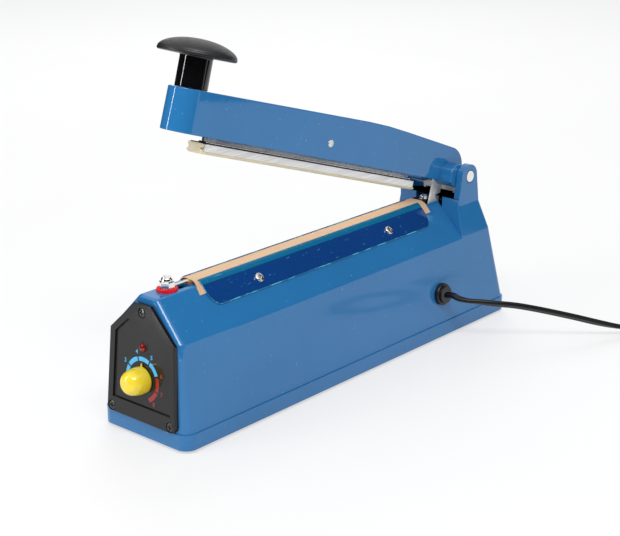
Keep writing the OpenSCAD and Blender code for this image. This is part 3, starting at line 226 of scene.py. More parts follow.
def galvanised(name, colour, rough, metallic):
    """Zinc-coated sheet: spangles of slightly different grey, with some grime."""
    mat, shader = blank(name, Metallic=metallic)
    coord = add(mat, "ShaderNodeTexCoord")
    cells = add(mat, "ShaderNodeTexVoronoi")
    cells.inputs["Scale"].default_value = 620
    link(mat, coord.outputs["Object"], cells.inputs["Vector"])
    tone = add(mat, "ShaderNodeSeparateColor")
    link(mat, cells.outputs["Color"], tone.inputs["Color"])
    spangle = ramp(mat, tone.outputs[0], (0, shade(colour, 0.88)), (1, shade(colour, 1.08)))
    grime = spread(mat, noise(mat, 120, detail=6), 0.56, 0.76, 0, 0.5)
    link(mat, blend(mat, grime, spangle, shade(colour, 0.55)), shader.inputs["Base Color"])
    link(mat, spread(mat, tone.outputs[1], 0, 1, rough * 0.8, rough * 1.2), shader.inputs["Roughness"])
    bump(mat, shader, noise(mat, 700), 0.08, 0.0003)
    return mat


def woven(name, colour):
    """Coated glass cloth: ribs across the strip with a finer thread along it."""
    mat, shader = blank(name, Sheen_Weight=0.15)
    coord = add(mat, "ShaderNodeTexCoord")
    across = add(mat, "ShaderNodeTexWave", bands_direction="X")
    across.inputs["Scale"].default_value = 260
    across.inputs["Distortion"].default_value = 0.6
    along = add(mat, "ShaderNodeTexWave", bands_direction="Y")
    along.inputs["Scale"].default_value = 420
    along.inputs["Distortion"].default_value = 0.4
    for wave in (across, along):
        link(mat, coord.outputs["Object"], wave.inputs["Vector"])
    both = add(mat, "ShaderNodeMath", operation="MULTIPLY_ADD")
    link(mat, along.outputs["Fac"], both.inputs[0])
    both.inputs[1].default_value = 0.4
    link(mat, across.outputs["Fac"], both.inputs[2])
    threads = ramp(mat, both.outputs[0], (0.1, shade(colour, 0.8)), (1.0, shade(colour, 1.08)))
    scorch = spread(mat, noise(mat, 55, (0.3, 1, 1)), 0.5, 0.75, 0, 0.5)
    link(mat, blend(mat, scorch, threads, shade(colour, 0.78)), shader.inputs["Base Color"])
    link(mat, spread(mat, noise(mat, 200), 0.3, 0.7, 0.42, 0.6), shader.inputs["Roughness"])
    bump(mat, shader, both.outputs[0], 0.35, 0.0003)
    return mat


BLUE = (0.022, 0.165, 0.4)
paint = enamel("blue_enamel", BLUE, (0.3, 0.5, 0.72), 0.04, peel=0.012, scuffs=0.72)
clamp_paint = enamel("clamp_enamel", (0.003, 0.045, 0.2), (0.1, 0.42, 0.66), 0.06, peel=0.01, scuffs=0.66,
                     streak=(0.6, 2.4, 2.4), Specular_IOR_Level=0.6)
panel_black = surface("panel_black", (0.01, 0.0095, 0.011), 0.14, grain=0.012, Specular_IOR_Level=0.36)
# Near-black painted shade, for walls, gaps and end faces that lie in shadow
painted_shade_black = surface("painted_shade_black", (0.003, 0.003, 0.003), 0.6)
screw_black = surface("screw_black", (0.012, 0.012, 0.013), 0.28, vary=0.2, Specular_IOR_Level=0.7)
yellow = surface("knob_yellow", (0.9, 0.68, 0.035), 0.16, vary=0.04, scale=90, grain=0.03, Subsurface_Weight=0.08,
                 Subsurface_Scale=0.002, Coat_Weight=0.3, Coat_Roughness=0.06)
lens_red = surface("lens_red", (0.2, 0.003, 0.004), 0.08, vary=0.25, scale=300, Coat_Weight=0.6)
cap_black = surface("knob_cap", (0.01, 0.01, 0.0115), 0.42, vary=0.15, scale=120, grain=0.16, grain_scale=1500)
stem_black = surface("knob_stem", (0.003, 0.003, 0.0035), 0.06, vary=0.2, scale=120, grain=0.02)
washer_red = surface("washer_red", (0.72, 0.004, 0.01), 0.5, vary=0.1, scale=200, Specular_IOR_Level=0.2)
bright_steel = metal("bright_steel", (0.8, 0.8, 0.79), 0.24, stretch=(1, 1, 1), scale=600)
steel = metal("steel", (0.56, 0.55, 0.53), 0.3, stretch=(1, 1, 0.2))
plated = metal("plated", (0.84, 0.84, 0.83), 0.2, stretch=(1, 1, 1), scale=300, vary=0.04, grain=0.01)
zinc = galvanised("zinc", (0.82, 0.82, 0.83), 0.4, 0.05)
aluminium = metal("aluminium", (0.88, 0.87, 0.86), 0.34, metallic=0.7)
brass = metal("brass", (0.72, 0.5, 0.2), 0.25, stretch=(1, 1, 1))
copper = metal("winding", (0.5, 0.2, 0.06), 0.35, stretch=(1, 1, 12), scale=300, vary=0.3, grain=0.6)
core_iron = metal("core_iron", (0.2, 0.2, 0.2), 0.5, stretch=(1, 14, 1), scale=200, vary=0.3, grain=0.6)
plate_grey = enamel("plate_grey", (0.05, 0.05, 0.053), (0.2, 0.2, 0.2), 0.45)
rubber = surface("rubber", (0.007, 0.007, 0.008), 0.36, vary=0.2, scale=80, grain=0.1, Specular_IOR_Level=0.5)
cord_black = surface("cord_black", (0.005, 0.005, 0.006), 0.3, vary=0.2, scale=40, grain=0.06, Specular_IOR_Level=0.3)
foam_black = surface("cushion_black", (0.008, 0.008, 0.008), 0.8, vary=0.3, scale=300, grain=0.5)
silicone = surface("silicone", (0.8, 0.69, 0.46), 0.5, vary=0.06, scale=70, grain=0.15, Subsurface_Weight=0.12,
                   Subsurface_Scale=0.002)
cloth_tan = woven("cloth_tan", (0.72, 0.46, 0.26))
insulation = surface("insulation", (0.3, 0.15, 0.06), 0.5, vary=0.2, scale=80, stretch=(0.2, 1, 1))
ivory = surface("bobbin", (0.66, 0.62, 0.5), 0.4)
board_green = surface("board_green", (0.01, 0.1, 0.03), 0.3, vary=0.25, scale=250)
device_blue = surface("device_blue", (0.01, 0.035, 0.2), 0.3)
device_black = surface("device_black", (0.01, 0.01, 0.011), 0.4)
plug_black = surface("plug_black", (0.012, 0.012, 0.013), 0.3, vary=0.2, grain=0.1)
rail_grey = metal("rail_grey", (0.84, 0.83, 0.83), 0.26, vary=0.05, grain=0.03, metallic=0.9)
# Painted reflection: a paler teal on the clamp plates' lip
lip_reflection_teal = enamel("lip_painted_reflection", (0.004, 0.14, 0.28), (0.1, 0.42, 0.66), 0.12, peel=0.01)
# Plate edges: part painted highlight, part wear marks
edge_highlight_and_wear = enamel("plate_edge_highlight_and_wear", (0.012, 0.14, 0.32), (0.2, 0.8, 0.9), 0.2, peel=0.01, scuffs=0.5, streak=(0.3, 1, 1))
strip_steel = metal("strip_steel", (0.74, 0.73, 0.7), 0.35)
pin_steel = surface("pin_steel", (0.9, 0.9, 0.89), 0.4, vary=0.05, scale=300)
amber = surface("glue", (0.45, 0.22, 0.02), 0.25, vary=0.2, scale=900)
flag_black = surface("flag_black", (0.012, 0.012, 0.012), 0.9)
print_blue = surface("print_blue", (0.05, 0.46, 0.86), 0.4, vary=0.08, scale=700)
print_red = surface("print_red", (0.34, 0.01, 0.008), 0.4, vary=0.12, scale=700)


# Pieces
def piece(name, mesh, body, mats, stands_for=()):
    obj = bpy.data.objects.new(name, mesh)
    scene.collection.objects.link(obj)
    for mat in mats if isinstance(mats, list) else [mats]:
        mesh.materials.append(mat)
    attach(obj, body)
    if stands_for:
        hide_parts(*stands_for)
    return obj


def finished(bm, name, smooth=40):
    """A mesh from bm, smooth across edges flatter than that angle."""
    bmesh.ops.recalc_face_normals(bm, faces=bm.faces)
    for face in bm.faces:
        face.smooth = True
    for edge in bm.edges:
        edge.smooth = len(edge.link_faces) == 2 and edge.calc_face_angle(0) < math.radians(smooth)
    mesh = bpy.data.meshes.new(name)
    bm.to_mesh(mesh)
    bm.free()
    return mesh


def cad_mesh(node):
    """The node's surface with its flat facets joined up again."""
    bm = bmesh.new()
    bm.from_mesh(nodes[node].data)
    bmesh.ops.remove_doubles(bm, verts=bm.verts, dist=3e-5)
    bmesh.ops.dissolve_degenerate(bm, edges=bm.edges, dist=1e-6)
    bmesh.ops.dissolve_limit(bm, angle_limit=math.radians(0.4), verts=bm.verts, edges=bm.edges)
    return bm


def rounded(node, mats, width, segments=3, sharp=26, shortest=0, weigh=None, paint_face=None, crisp=None, rim=-1,
            reshape=None):
    """The CAD node with its outer edges rounded, but for those shorter than given. weigh gives an edge's share of the
    width from its middle, paint_face a face's material from its normal and middle, crisp marks edges that stay
    hard at any angle, rim is the material of the rounding itself, and reshape works on the mesh first."""
    bm = cad_mesh(node)
    if reshape:
        reshape(bm)
    weights = bm.edges.layers.float.new("bevel_weight_edge")
    for face in bm.faces:
        face.smooth = True
        if paint_face:
            face.material_index = paint_face(face.normal, face.calc_center_median())
    for edge in bm.edges:
        turn = math.degrees(edge.calc_face_angle_signed(0)) if len(edge.link_faces) == 2 else 0
        middle = (edge.verts[0].co + edge.verts[1].co) / 2
        share = 0.0
        if turn > sharp and edge.calc_length() > shortest * MM:
            share = weigh(middle) if weigh else 1.0
        edge[weights] = share
        hard = crisp(middle, edge.verts[1].co - edge.verts[0].co) if crisp else False
        edge.smooth = share > 0 or abs(turn) <= (2 if hard else sharp)
    mesh = bpy.data.meshes.new(node)
    bm.to_mesh(mesh)
    bm.free()
    obj = piece("dressed_" + node, mesh, nodes[node]["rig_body"], mats, (node,))
    mod = obj.modifiers.new("round", "BEVEL")
    mod.limit_method = "WEIGHT"
    mod.width = width * MM
    mod.segments = segments
    mod.use_clamp_overlap = False
    mod.miter_outer = "MITER_ARC"
    mod.material = rim
    even = obj.modifiers.new("even", "WEIGHTED_NORMAL")
    even.mode = "FACE_AREA"
    even.weight = 80
    even.keep_sharp = True
    return obj


def dress(mat, *names):
    for name in names:
        data = nodes[name].data
        data.materials.clear()
        data.materials.append(mat)


def lathe(profile, matrix, steps=64):
    """A turned shape from points of radius and height, in millimetres."""
    bm = bmesh.new()
    rings = []
    for r, z in profile:
        count = 1 if r < 1e-6 else steps
        rings.append([bm.verts.new(matrix @ (Vector((r * math.cos(2 * math.pi * i / steps),
                      r * math.sin(2 * math.pi * i / steps), z)) * MM)) for i in range(count)])
    for low, high in zip(rings, rings[1:]):
        for i in range(steps):
            j = (i + 1) % steps
            loop = [low[i % len(low)], low[j % len(low)], high[j % len(high)], high[i % len(high)]]
            kept = [v for k, v in enumerate(loop) if v not in loop[:k]]
            if len(kept) > 2:
                bm.faces.new(kept)
    for ring in (rings[0], rings[-1]):
        if len(ring) > 1:
            bm.faces.new(ring)
    return bm


def arc(cx, cz, r, a0, a1, n):
    return [(cx + r * math.cos(math.radians(a0 + (a1 - a0) * i / n)),
             cz + r * math.sin(math.radians(a0 + (a1 - a0) * i / n))) for i in range(n + 1)]


def polar(r, degrees):
    return r * math.cos(math.radians(degrees)), r * math.sin(math.radians(degrees))


def prism(outline, low, high, matrix):
    """A solid with that outline, in millimetres, between two heights."""
    bm = bmesh.new()
    rings = [[bm.verts.new(matrix @ (Vector((x, y, z)) * MM)) for x, y in outline] for z in (low, high)]
    count = len(outline)
    for i in range(count):
        j = (i + 1) % count
        bm.faces.new((rings[0][i], rings[0][j], rings[1][j], rings[1][i]))
    bm.faces.new(rings[0])
    bm.faces.new(rings[1])
    return bm


def joined(*parts):
    """One bmesh with all the parts in it."""
    whole = bmesh.new()
    for part in parts:
        mesh = bpy.data.meshes.new("part")
        part.to_mesh(mesh)
        part.free()
        whole.from_mesh(mesh)
        bpy.data.meshes.remove(mesh)
    return whole


def carved(bm, cutter):
    """bm with the cutter taken out of it."""
    pair = []
    for part in (bm, cutter):
        bmesh.ops.recalc_face_normals(part, faces=part.faces)
        mesh = bpy.data.meshes.new("part")
        part.to_mesh(mesh)
        part.free()
        pair.append(bpy.data.objects.new("part", mesh))
        scene.collection.objects.link(pair[-1])
    mod = pair[0].modifiers.new("carve", "BOOLEAN")
    mod.object = pair[1]
    mod.solver = "EXACT"
    done = bpy.data.meshes.new_from_object(pair[0].evaluated_get(bpy.context.evaluated_depsgraph_get()))
    whole = bmesh.new()
    whole.from_mesh(done)
    for obj in pair:
        mesh = obj.data
        bpy.data.objects.remove(obj)
        bpy.data.meshes.remove(mesh)
    bpy.data.meshes.remove(done)
    return whole


def cross_screws(name, places, head_d, head_h, shank_d, shank_len, dome, body, mat, node):
    """Screws with a round head and a cross in it, at each place's own origin, heads along its Z axis."""
    edge = head_h * 0.45
    profile = [(0, -shank_len), (shank_d / 2, -shank_len), (shank_d / 2, 0), (head_d / 2, 0)]
    profile += arc(head_d / 2 - edge, head_h - edge, edge, 0, 60, 4)
    top = profile[-1]
    profile += [(top[0] * (1 - k / 5), top[1] + dome * (1 - (1 - k / 5) ** 2)) for k in range(1, 5)] + [(0, top[1] + dome)]
    w, l = head_d * 0.07, head_d * 0.32
    cross = [(w, l), (-w, l), (-w, w), (-l, w), (-l, -w), (-w, -w), (-w, -l), (w, -l), (w, -w), (l, -w), (l, w), (w, w)]
    crown = top[1] + dome
    cutter = prism(cross, crown - head_h * 0.75, crown + 1, Matrix.Identity(4))
    shape = finished(carved(lathe(profile, Matrix.Identity(4), 40), cutter), name, 35)
    bm = bmesh.new()
    for place in places:
        copy = shape.copy()
        copy.transform(place)
        bm.from_mesh(copy)
        bpy.data.meshes.remove(copy)
    bpy.data.meshes.remove(shape)
    return piece(name, finished(bm, name, 35), body, mat, (node,))


# Cord: the route and coil of the CAD model, in metres, drawn as a flat twin flex with a groove along its middle
GLAND = Vector((91.3107, -37.6062, 31.9886)) * MM
GLAND_OUT = Vector((0, -math.cos(math.radians(6.76)), math.sin(math.radians(6.76))))
CORD_W, CORD_T = 5.5, 3.3
COIL_Z = 2.8
CORD_STEPS = [
    (1, -10, 0.03), (4, -16, 0.06), (9, -23, 0.08), (16, -31, 0.12), (25, -39, 0.18), (35, -48, 0.28), (46, -57, 0.41),
    (58, -67, 0.56), (70, -76, 0.72), (82, -85, 0.86), (94, -94, 0.95), (105, -103, 0.99), (116, -111, 1),
]
route = [GLAND - 3 * MM * GLAND_OUT, GLAND + MM * GLAND_OUT, GLAND + CORD_W * MM * GLAND_OUT]
for step_x, step_y, drop in CORD_STEPS:
    route.append(Vector((GLAND.x + step_x * MM, GLAND.y + step_y * MM, GLAND.z + (COIL_Z * MM - GLAND.z) * drop)))
COIL_R, COIL_START, LOOP, COIL_HALF, CLIMB, COIL_STEP, COIL_RISE = 36.8, 52.5, 24, 54, 12, 6.3, 3.9
coil_x = route[-1].x / MM - COIL_R * math.cos(math.radians(COIL_START))
coil_y = route[-1].y / MM - COIL_R * math.sin(math.radians(COIL_START))


def coil_point(i):
    if i <= COIL_HALF:
        r = COIL_R - COIL_STEP * i / LOOP
    elif i <= COIL_HALF + CLIMB:
        r = COIL_R - COIL_STEP * COIL_HALF / LOOP
    else:
        r = COIL_R - COIL_STEP * (2 * COIL_HALF + CLIMB - i) / LOOP
    a = math.radians(COIL_START - 360 * i / LOOP)
    z = COIL_Z + COIL_RISE * max(0, min(1, (i - COIL_HALF) / CLIMB))
    return Vector((coil_x + r * math.cos(a), coil_y + r * math.sin(a), z)) * MM


coil = [coil_point(i) for i in range(2 * COIL_HALF + CLIMB + 1)]
tail_dir = (coil[-1] - coil[-2]).normalized()
route += coil[1:] + [coil[-1] + 12 * MM * tail_dir, coil[-1] + 24 * MM * tail_dir]


def smooth_line(points, parts):
    """Points on a curve through the given ones."""
    line = []
    for i in range(len(points) - 1):
        p0, p1, p2, p3 = (points[max(0, min(len(points) - 1, i + k))] for k in (-1, 0, 1, 2))
        for j in range(parts):
            t = j / parts
            line.append(0.5 * ((2 * p1) + (p2 - p0) * t + (2 * p0 - 5 * p1 + 4 * p2 - p3) * t * t
                               + (3 * p1 - p0 - 3 * p2 + p3) * t ** 3))
    return line + [points[-1]]


def swept(name, line, section, roll):
    """A closed tube whose section lies level, then turned by the roll at that length along it."""
    bm = bmesh.new()
    rings = []
    run = 0
    for i, point in enumerate(line):
        ahead = (line[min(i + 1, len(line) - 1)] - line[max(i - 1, 0)]).normalized()
        run += (point - line[max(i - 1, 0)]).length
        side = ahead.cross(Vector((0, 0, 1))).normalized()
        up = side.cross(ahead)
        c, k = polar(1, roll(run / MM))
        rings.append([bm.verts.new(point + side * ((a * c - b * k) * MM) + up * ((a * k + b * c) * MM)) for a, b in section])
    for low, high in zip(rings, rings[1:]):
        for i in range(len(section)):
            j = (i + 1) % len(section)
            bm.faces.new((low[i], low[j], high[j], high[i]))
    bm.faces.new(rings[0])
    bm.faces.new(rings[-1])
    return finished(bm, name, 60)


def cord_roll(run):
    """The cord twists as it leaves the bushing and lies flat again on the floor."""
    into = max(0, min(1, (run - 6) / 30))
    out = max(0, min(1, (150 - run) / 45))
    return 44 * into * into * (3 - 2 * into) * out * out * (3 - 2 * out)


def twin_section(w, t, n=9):
    """Two round cores side by side, joined by a narrow web."""
    r = t / 2
    c = w / 2 - r
    right = arc(c, 0, r, -128, 128, n)
    left = arc(-c, 0, r, 52, 308, n)
    return right + left


cord_line = smooth_line(route, 3)
cord = piece("mains_cord", swept("mains_cord", cord_line, twin_section(CORD_W, CORD_T), cord_roll), "base", cord_black,
             ("power_cord", "cord_coil"))


# Housing, arm and panel
def housing_weight(p):
    x, y, z = (p.x - base_x) / MM, abs(p.y) / MM, (p.z - base_lo.z) / MM
    if x > 110 and z > 58:
        return 1.0
    if z > 84 and y < 8:
        return 0.4
    if z < 9.9 and (y > 34.5 or abs(x) > 158.5):
        return 1.0
    return 0.0


def crease_block(bm):
    """The sides of the hinge blocks lean in up to the crease and stand upright above it."""
    crease, upright = base_lo.z + BLOCK_CREASE_H * MM, BLOCK_HALF_W * MM
    sides = []
    for face in bm.faces:
        middle = face.calc_center_median()
        x, y, z = (middle.x - base_x) / MM, abs(middle.y) / MM, (middle.z - base_lo.z) / MM
        if x > 112 and y > 20 and 60 < z < 90:
            sides.append(face)
    around = {e for f in sides for e in f.edges} | {v for f in sides for v in f.verts}
    cut = bmesh.ops.bisect_plane(bm, geom=sides + list(around), dist=1e-6, plane_co=(0, 0, crease), plane_no=(0, 0, 1))
    for vert in cut["geom_cut"]:
        if isinstance(vert, bmesh.types.BMVert) and abs(vert.co.y) > upright and abs(vert.co.z - crease) < 1e-5:
            vert.co.y = math.copysign(upright, vert.co.y)
    bm.normal_update()


def block_crease(p, run):
    """The hinge blocks meet the walls and posts in plain level lines."""
    x, z = (p.x - base_x) / MM, (p.z - base_lo.z) / MM
    return x > 110 and 58 < z < 90 and abs(run.x) > 0.9 * run.length


def panel_weight(p):
    """The outer edge of the panel is rounded, and the recess along the side of the cord."""
    local = FRONT.inverted() @ p / MM
    edge = 28.5 - max(0, local.z - 12) * 0.03 - max(0, local.z - 60) * 0.88
    return 1.0 if local.z > 17.5 and (abs(local.y) > edge - 3 or local.z > 80.5 or local.y < -12) else 0.0


def panel_face(normal, p):
    """Walls of the recess and of the screw holes get near-black painted shade."""
    local = FRONT.inverted() @ p / MM
    steep = abs((FRONT.inverted().to_3x3() @ normal).x) < 0.5
    inner = abs(local.y) < 26 - max(0, local.z - 58) * 0.93 and 11.5 < local.z < 80
    return 1 if steep and inner else 0


rounded("base_housing", paint, 0.6, 3, shortest=1.5, weigh=housing_weight, crisp=block_crease,
        reshape=crease_block)
rounded("arm_shell", paint, 0.7, 3, shortest=0.5)
rounded("front_panel", [panel_black, painted_shade_black], 0.5, 3, weigh=panel_weight, paint_face=panel_face)


def plate_face(normal, p):
    """A paler lip where the clamp plates bend over the ridge, as a painted reflection, and paler edges that are partly
    wear and partly painted highlight.
    """
    lean = math.degrees(math.acos(max(-1, min(1, abs(normal.z)))))
    if abs(normal.x) > 0.5 or lean > 60:
        return 2
    return 1 if lean < 46 or abs(p.y) < LIP_HALF_W * MM else 0


def split_plate(bm):
    """A line along the plate where its lip ends."""
    for side in (-1, 1):
        whole = bm.verts[:] + bm.edges[:] + bm.faces[:]
        bmesh.ops.bisect_plane(bm, geom=whole, dist=1e-6, plane_co=(0, side * LIP_HALF_W * MM, 0), plane_no=(0, 1, 0))
    bm.normal_update()


# The plates' lip gets a painted reflection, and their edges and roundings a painted highlight mixed with wear
for node in ("clamp_plate_near", "clamp_plate_far"):
    rounded(node, [clamp_paint, lip_reflection_teal, edge_highlight_and_wear], 0.18, 2, sharp=50, paint_face=plate_face, rim=2,
            reshape=split_plate)
# The front end face of the carrier rail is painted near-black as shade
rounded("carrier_rail", [rail_grey, painted_shade_black], 0.2, paint_face=lambda normal, p: int(normal.x < -0.8))

for node, mat, slot, width in (
    ("press_channel", aluminium, "aluminium", 0.2),
    ("cushion_strip", foam_black, "cushion", 0.15), ("silicone_strip", silicone, "silicone", 0.3),
    ("striker", zinc, "steel", 0.25), ("stop_bar", zinc, "steel", 0.5), ("hinge_pin", pin_steel, "steel", 0.5),
    ("bar_rivet", bright_steel, "steel", 0.2), ("cord_gland", rubber, "rubber", 0.3),
    ("rear_terminal_block", device_black, "device_black", 0.4), ("plug_body", plug_black, "plug_black", 1.2),
    ("plug_pins", brass, "bush_brass", 0.5), ("cord_tie", plug_black, "plug_black", 0.2),
    ("bottom_plate", plate_grey, "plate_steel", 0.3), ("rubber_feet", rubber, "rubber", 0.3),
    ("terminal_washer", washer_red, "washer_red", 0.15),
):
    rounded(node, mat, width)

dress(bright_steel, "bottom_screws", "rear_terminal_screw", "return_spring", "terminal_stud")
dress(strip_steel, "heating_element")
dress(steel, "potentiometer", "potentiometer_nut", "potentiometer_shaft", "transformer_strap", "transformer_screws",
      "switch_bracket", "switch_screws", "spring_anchor", "knob_screw", "switch_lever")
dress(aluminium, "heat_sink")
dress(core_iron, "transformer_core")
dress(copper, "transformer_winding")
dress(ivory, "transformer_bobbin")
dress(brass, "hinge_bushes")
dress(board_green, "timer_board")
dress(device_blue, "relay", "timing_capacitor")
dress(device_black, "switch_body", "switch_plunger")
dress(insulation, "insulating_strip")

# Arm knob: a satin cap with a line of moulding flash above its rim, on a glossy stem
KNOB = ARM @ shift(-258, 0, 18.402) @ turn_y(-1.264)
CAP_R, CAP_H, STEM_R, STEM_H = 23.3, 9.1, 9.6, 19.3
stem_profile = [(0, 0.05), (STEM_R - 0.3, 0.05), (STEM_R, 0.35), (STEM_R, 0.7),
                (STEM_R, STEM_H - 2), (STEM_R, STEM_H - 1.6), (STEM_R + 0.4, STEM_H - 0.9)]
cap_profile = [(STEM_R + 0.4, STEM_H - 0.9), (STEM_R + 1.5, STEM_H - 0.6), (21.6, STEM_H - 0.75)]
cap_profile += arc(21.9, STEM_H + 0.45, 1.2, -90, 28, 7)
cap_profile += [(22.82, STEM_H + 1.3), (22.86, STEM_H + 1.5), (22.76, STEM_H + 1.75)]
cap_profile += [(CAP_R * math.cos(math.radians(a)), STEM_H + CAP_H * math.sin(math.radians(a)))
                for a in [13.5 + 76.5 * k / 22 for k in range(22)]] + [(0, STEM_H + CAP_H)]
knob_bm = lathe(stem_profile + cap_profile[1:], KNOB, 96)
for face in knob_bm.faces:
    local = KNOB.inverted() @ face.calc_center_median() / MM
    face.material_index = 1 if local.z < STEM_H - 0.95 and Vector((local.x, local.y)).length < STEM_R + 1 else 0
piece("knob", finished(knob_bm, "knob", 50), "press_arm", [cap_black, stem_black], ("arm_knob",))

# Timer knob, its pointer straight up, over the printed dial
DIAL = FRONT @ shift(RECESS - 0.3, 0, DIAL_H) @ turn_y(-90)
TIMER_R, TIMER_LEN = 8.7, 13.2
turned = [(3, 9.9), (3.03, 3.2), (6.3, 3.2), (6.3, 0), (7.9, 0), (8.05, 0.15), (8.1, 0.6)]
turned += [((8.1 + 0.35 * math.sin(math.radians(2 * a))) * math.cos(math.radians(a)) ** 0.5,
            1.2 + (TIMER_LEN - 1.2) * math.sin(math.radians(a))) for a in [3 + 87 * k / 28 for k in range(28)]] + [(0, TIMER_LEN)]
nib = [(6.5, -0.8), (8.2, -0.4), (TIMER_R + 1.6, -0.06), (TIMER_R + 1.6, 0.06), (8.2, 0.4), (6.5, 0.8)]
timer_bm = joined(lathe(turned, DIAL, 72), prism(nib, 0.3, 1.0, DIAL))
piece("timer_knob_skin", finished(timer_bm, "timer_knob_skin", 45), "timer_dial", yellow, ("timer_knob",))

PRINT = FRONT @ shift(RECESS, 0, DIAL_H) @ turn_y(-90)


def on_dial(r, degrees):
    """A point of the dial as its viewer sees it: degrees from their right, turning up."""
    x, y = polar(r, degrees)
    return y, -x


def dial_mark(number):
    return 236 - 43 * (number - 1)


for name, mat, numbers in (("dial_blue", print_blue, range(1, 6)), ("dial_red", print_red, (6, 7))):
    segments = []
    for number in numbers:
        a0, a1 = dial_mark(number) - 2.4, dial_mark(number + 1) + 2.4
        sweep = [a0 + (a1 - a0) * k / 12 for k in range(13)]
        outline = [on_dial(ARC_IN, a) for a in sweep] + [on_dial(ARC_OUT, a) for a in reversed(sweep)]
        segments.append(prism(outline, -0.02, 0.04, PRINT))
    piece(name, finished(joined(*segments), name), "base", mat)


def numeral(number, mat):
    curve = bpy.data.curves.new("numeral", "FONT")
    curve.body = str(number)
    curve.size = 3.7 * MM
    curve.align_x = "CENTER"
    curve.align_y = "CENTER"
    curve.extrude = 0.02 * MM
    curve.offset = 0.05 * MM
    temp = bpy.data.objects.new("numeral", curve)
    scene.collection.objects.link(temp)
    mesh = bpy.data.meshes.new_from_object(temp.evaluated_get(bpy.context.evaluated_depsgraph_get()))
    bpy.data.objects.remove(temp)
    bpy.data.curves.remove(curve)
    radius = NUMERAL_R if number < 8 else NUMERAL_END_R
    up, side = on_dial(radius, dial_mark(number) + NUMERAL_SHIFT.get(number, 0))
    upright = Matrix(((0, 1, 0, up * MM), (-1, 0, 0, side * MM), (0, 0, 1, 0.02 * MM), (0, 0, 0, 1)))
    mesh.transform(PRINT @ upright)
    mesh.name = "numeral_%d" % number
    piece(mesh.name, mesh, "base", mat)


for number in range(1, 9):
    numeral(number, print_blue if number < 6 else print_red)

# Indicator lens with cut facets, its flange and legs behind the panel
LENS = FRONT @ shift(0, 0, 55.2) @ turn_y(-90)
lens_bm = lathe([(2.7, -0.7), (3.4, -0.7), (3.4, 0), (2.7, 0), (2.7, 1.5), (2.4, 2.6), (1.5, 3.6), (0, 4.2)], LENS, 9)
legs = [prism([(0.3 * c + 0, 0.3 * k + y) for c, k in (polar(1, 45 * n) for n in range(8))], -13.5, -0.6, LENS)
        for y in (-1.3, 1.3)]
piece("lens", finished(joined(lens_bm, *legs), "lens", 15), "base", lens_red, ("indicator_lens",))

# Painted shade: a flat black strip along two sides and the foot of the panel's recess, and a dark crescent round the
# lens where its hole lies in shade
SHEET = FRONT @ shift(RECESS, 0, 0) @ Matrix(((0, 0, -1, 0), (1, 0, 0, 0), (0, 1, 0, 0), (0, 0, 0, 1)))


def band(points, width):
    """A strip of that width along the left of a line of points, seen from the front."""
    lines = [Vector(b) - Vector(a) for a, b in zip(points, points[1:])]
    sides = [Vector((-d.y, d.x)).normalized() for d in lines]
    inner = []
    for k, point in enumerate(points):
        a, b = sides[max(k - 1, 0)], sides[min(k, len(sides) - 1)]
        inner.append(Vector(point) + (a + b) * (width / (1 + a.dot(b))))
    return [tuple(point) for point in points] + [tuple(point) for point in reversed(inner)]


recess_shade_line = [(11.2, 71.6), (22.4, 60.6), (23.8, 17.3), (-23.8, 17.3)]
piece("painted_recess_shade", finished(prism(band(recess_shade_line, -1.6), -0.02, 0.03, SHEET), "painted_recess_shade"), "base", painted_shade_black)
# A dark disc set off to one side of the lens, painted shade in its hole
hole = [(polar(3.3, 15 * n)[0] - 1.3, 56.0 + polar(3.3, 15 * n)[1]) for n in range(24)]
piece("lens_hole_shade", finished(prism(hole, -0.02, 0.03, SHEET), "lens_hole_shade"), "base", painted_shade_black)

# Screws
panel_places = [FRONT @ shift(RECESS, y, z) @ turn_y(-90) for y, z in ((-24.5, 13.4), (24.5, 13.4), (0, 76.2))]
cross_screws("panel_screw_set", panel_places, 5.6, 1.1, 2.9, 10, 0.25, "base", screw_black, "panel_screws")
roof_tilt = math.radians(46.697)
clamp_places = [Matrix.Translation(at(x, side * 14.264, 79.004)) @ Matrix.Rotation(-side * roof_tilt, 4, "X")
                for x in (-75.25, 49.75) for side in (-1, 1)]
cross_screws("clamp_screw_set", clamp_places, 6, 1.5, 2.9, 7, 0.5, "base", bright_steel, "clamp_screws")

# Domed end of the front terminal, and thin rings of painted shade round the hinge pin
TERMINAL = Matrix.Translation(at(-137.5, 0, 0))
dome = [(3.3, 90.3), (3.4, 90.6), (3.4, 91.2)] + arc(0, 91.2, 3.4, 20, 80, 8) + [(0, 94.6)]
dome = [(r, 91.2 + (z - 91.2) * 0.66 if z > 91.2 else z) for r, z in dome]
piece("terminal_cap", finished(lathe([(0, 90.3)] + dome, TERMINAL, 40), "terminal_cap", 40), "base", plated)
nut_low, nut_high = ((p.z - base_lo.z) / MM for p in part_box("terminal_nut"))
nut = [(2.5, nut_low), (4.4, nut_low), (4.62, nut_low + 0.3), (4.62, nut_high - 0.5), (4.1, nut_high), (2.5, nut_high)]
piece("hex_nut", finished(lathe(nut, TERMINAL, 6), "hex_nut", 20), "base", plated, ("terminal_nut",))
for side, name in ((-1, "pin_shade_near"), (1, "pin_shade_far")):
    RING = Matrix.Translation(at(PIN_X, side * 25, PIN_H)) @ Matrix.Rotation(math.radians(-90 * side), 4, "X")
    ring_bm = lathe([(4.02, 0.0), (4.02, 0.03), (4.55, 0.03), (4.55, 0.0)], RING, 48)
    piece(name, finished(ring_bm, name), "base", painted_shade_black)

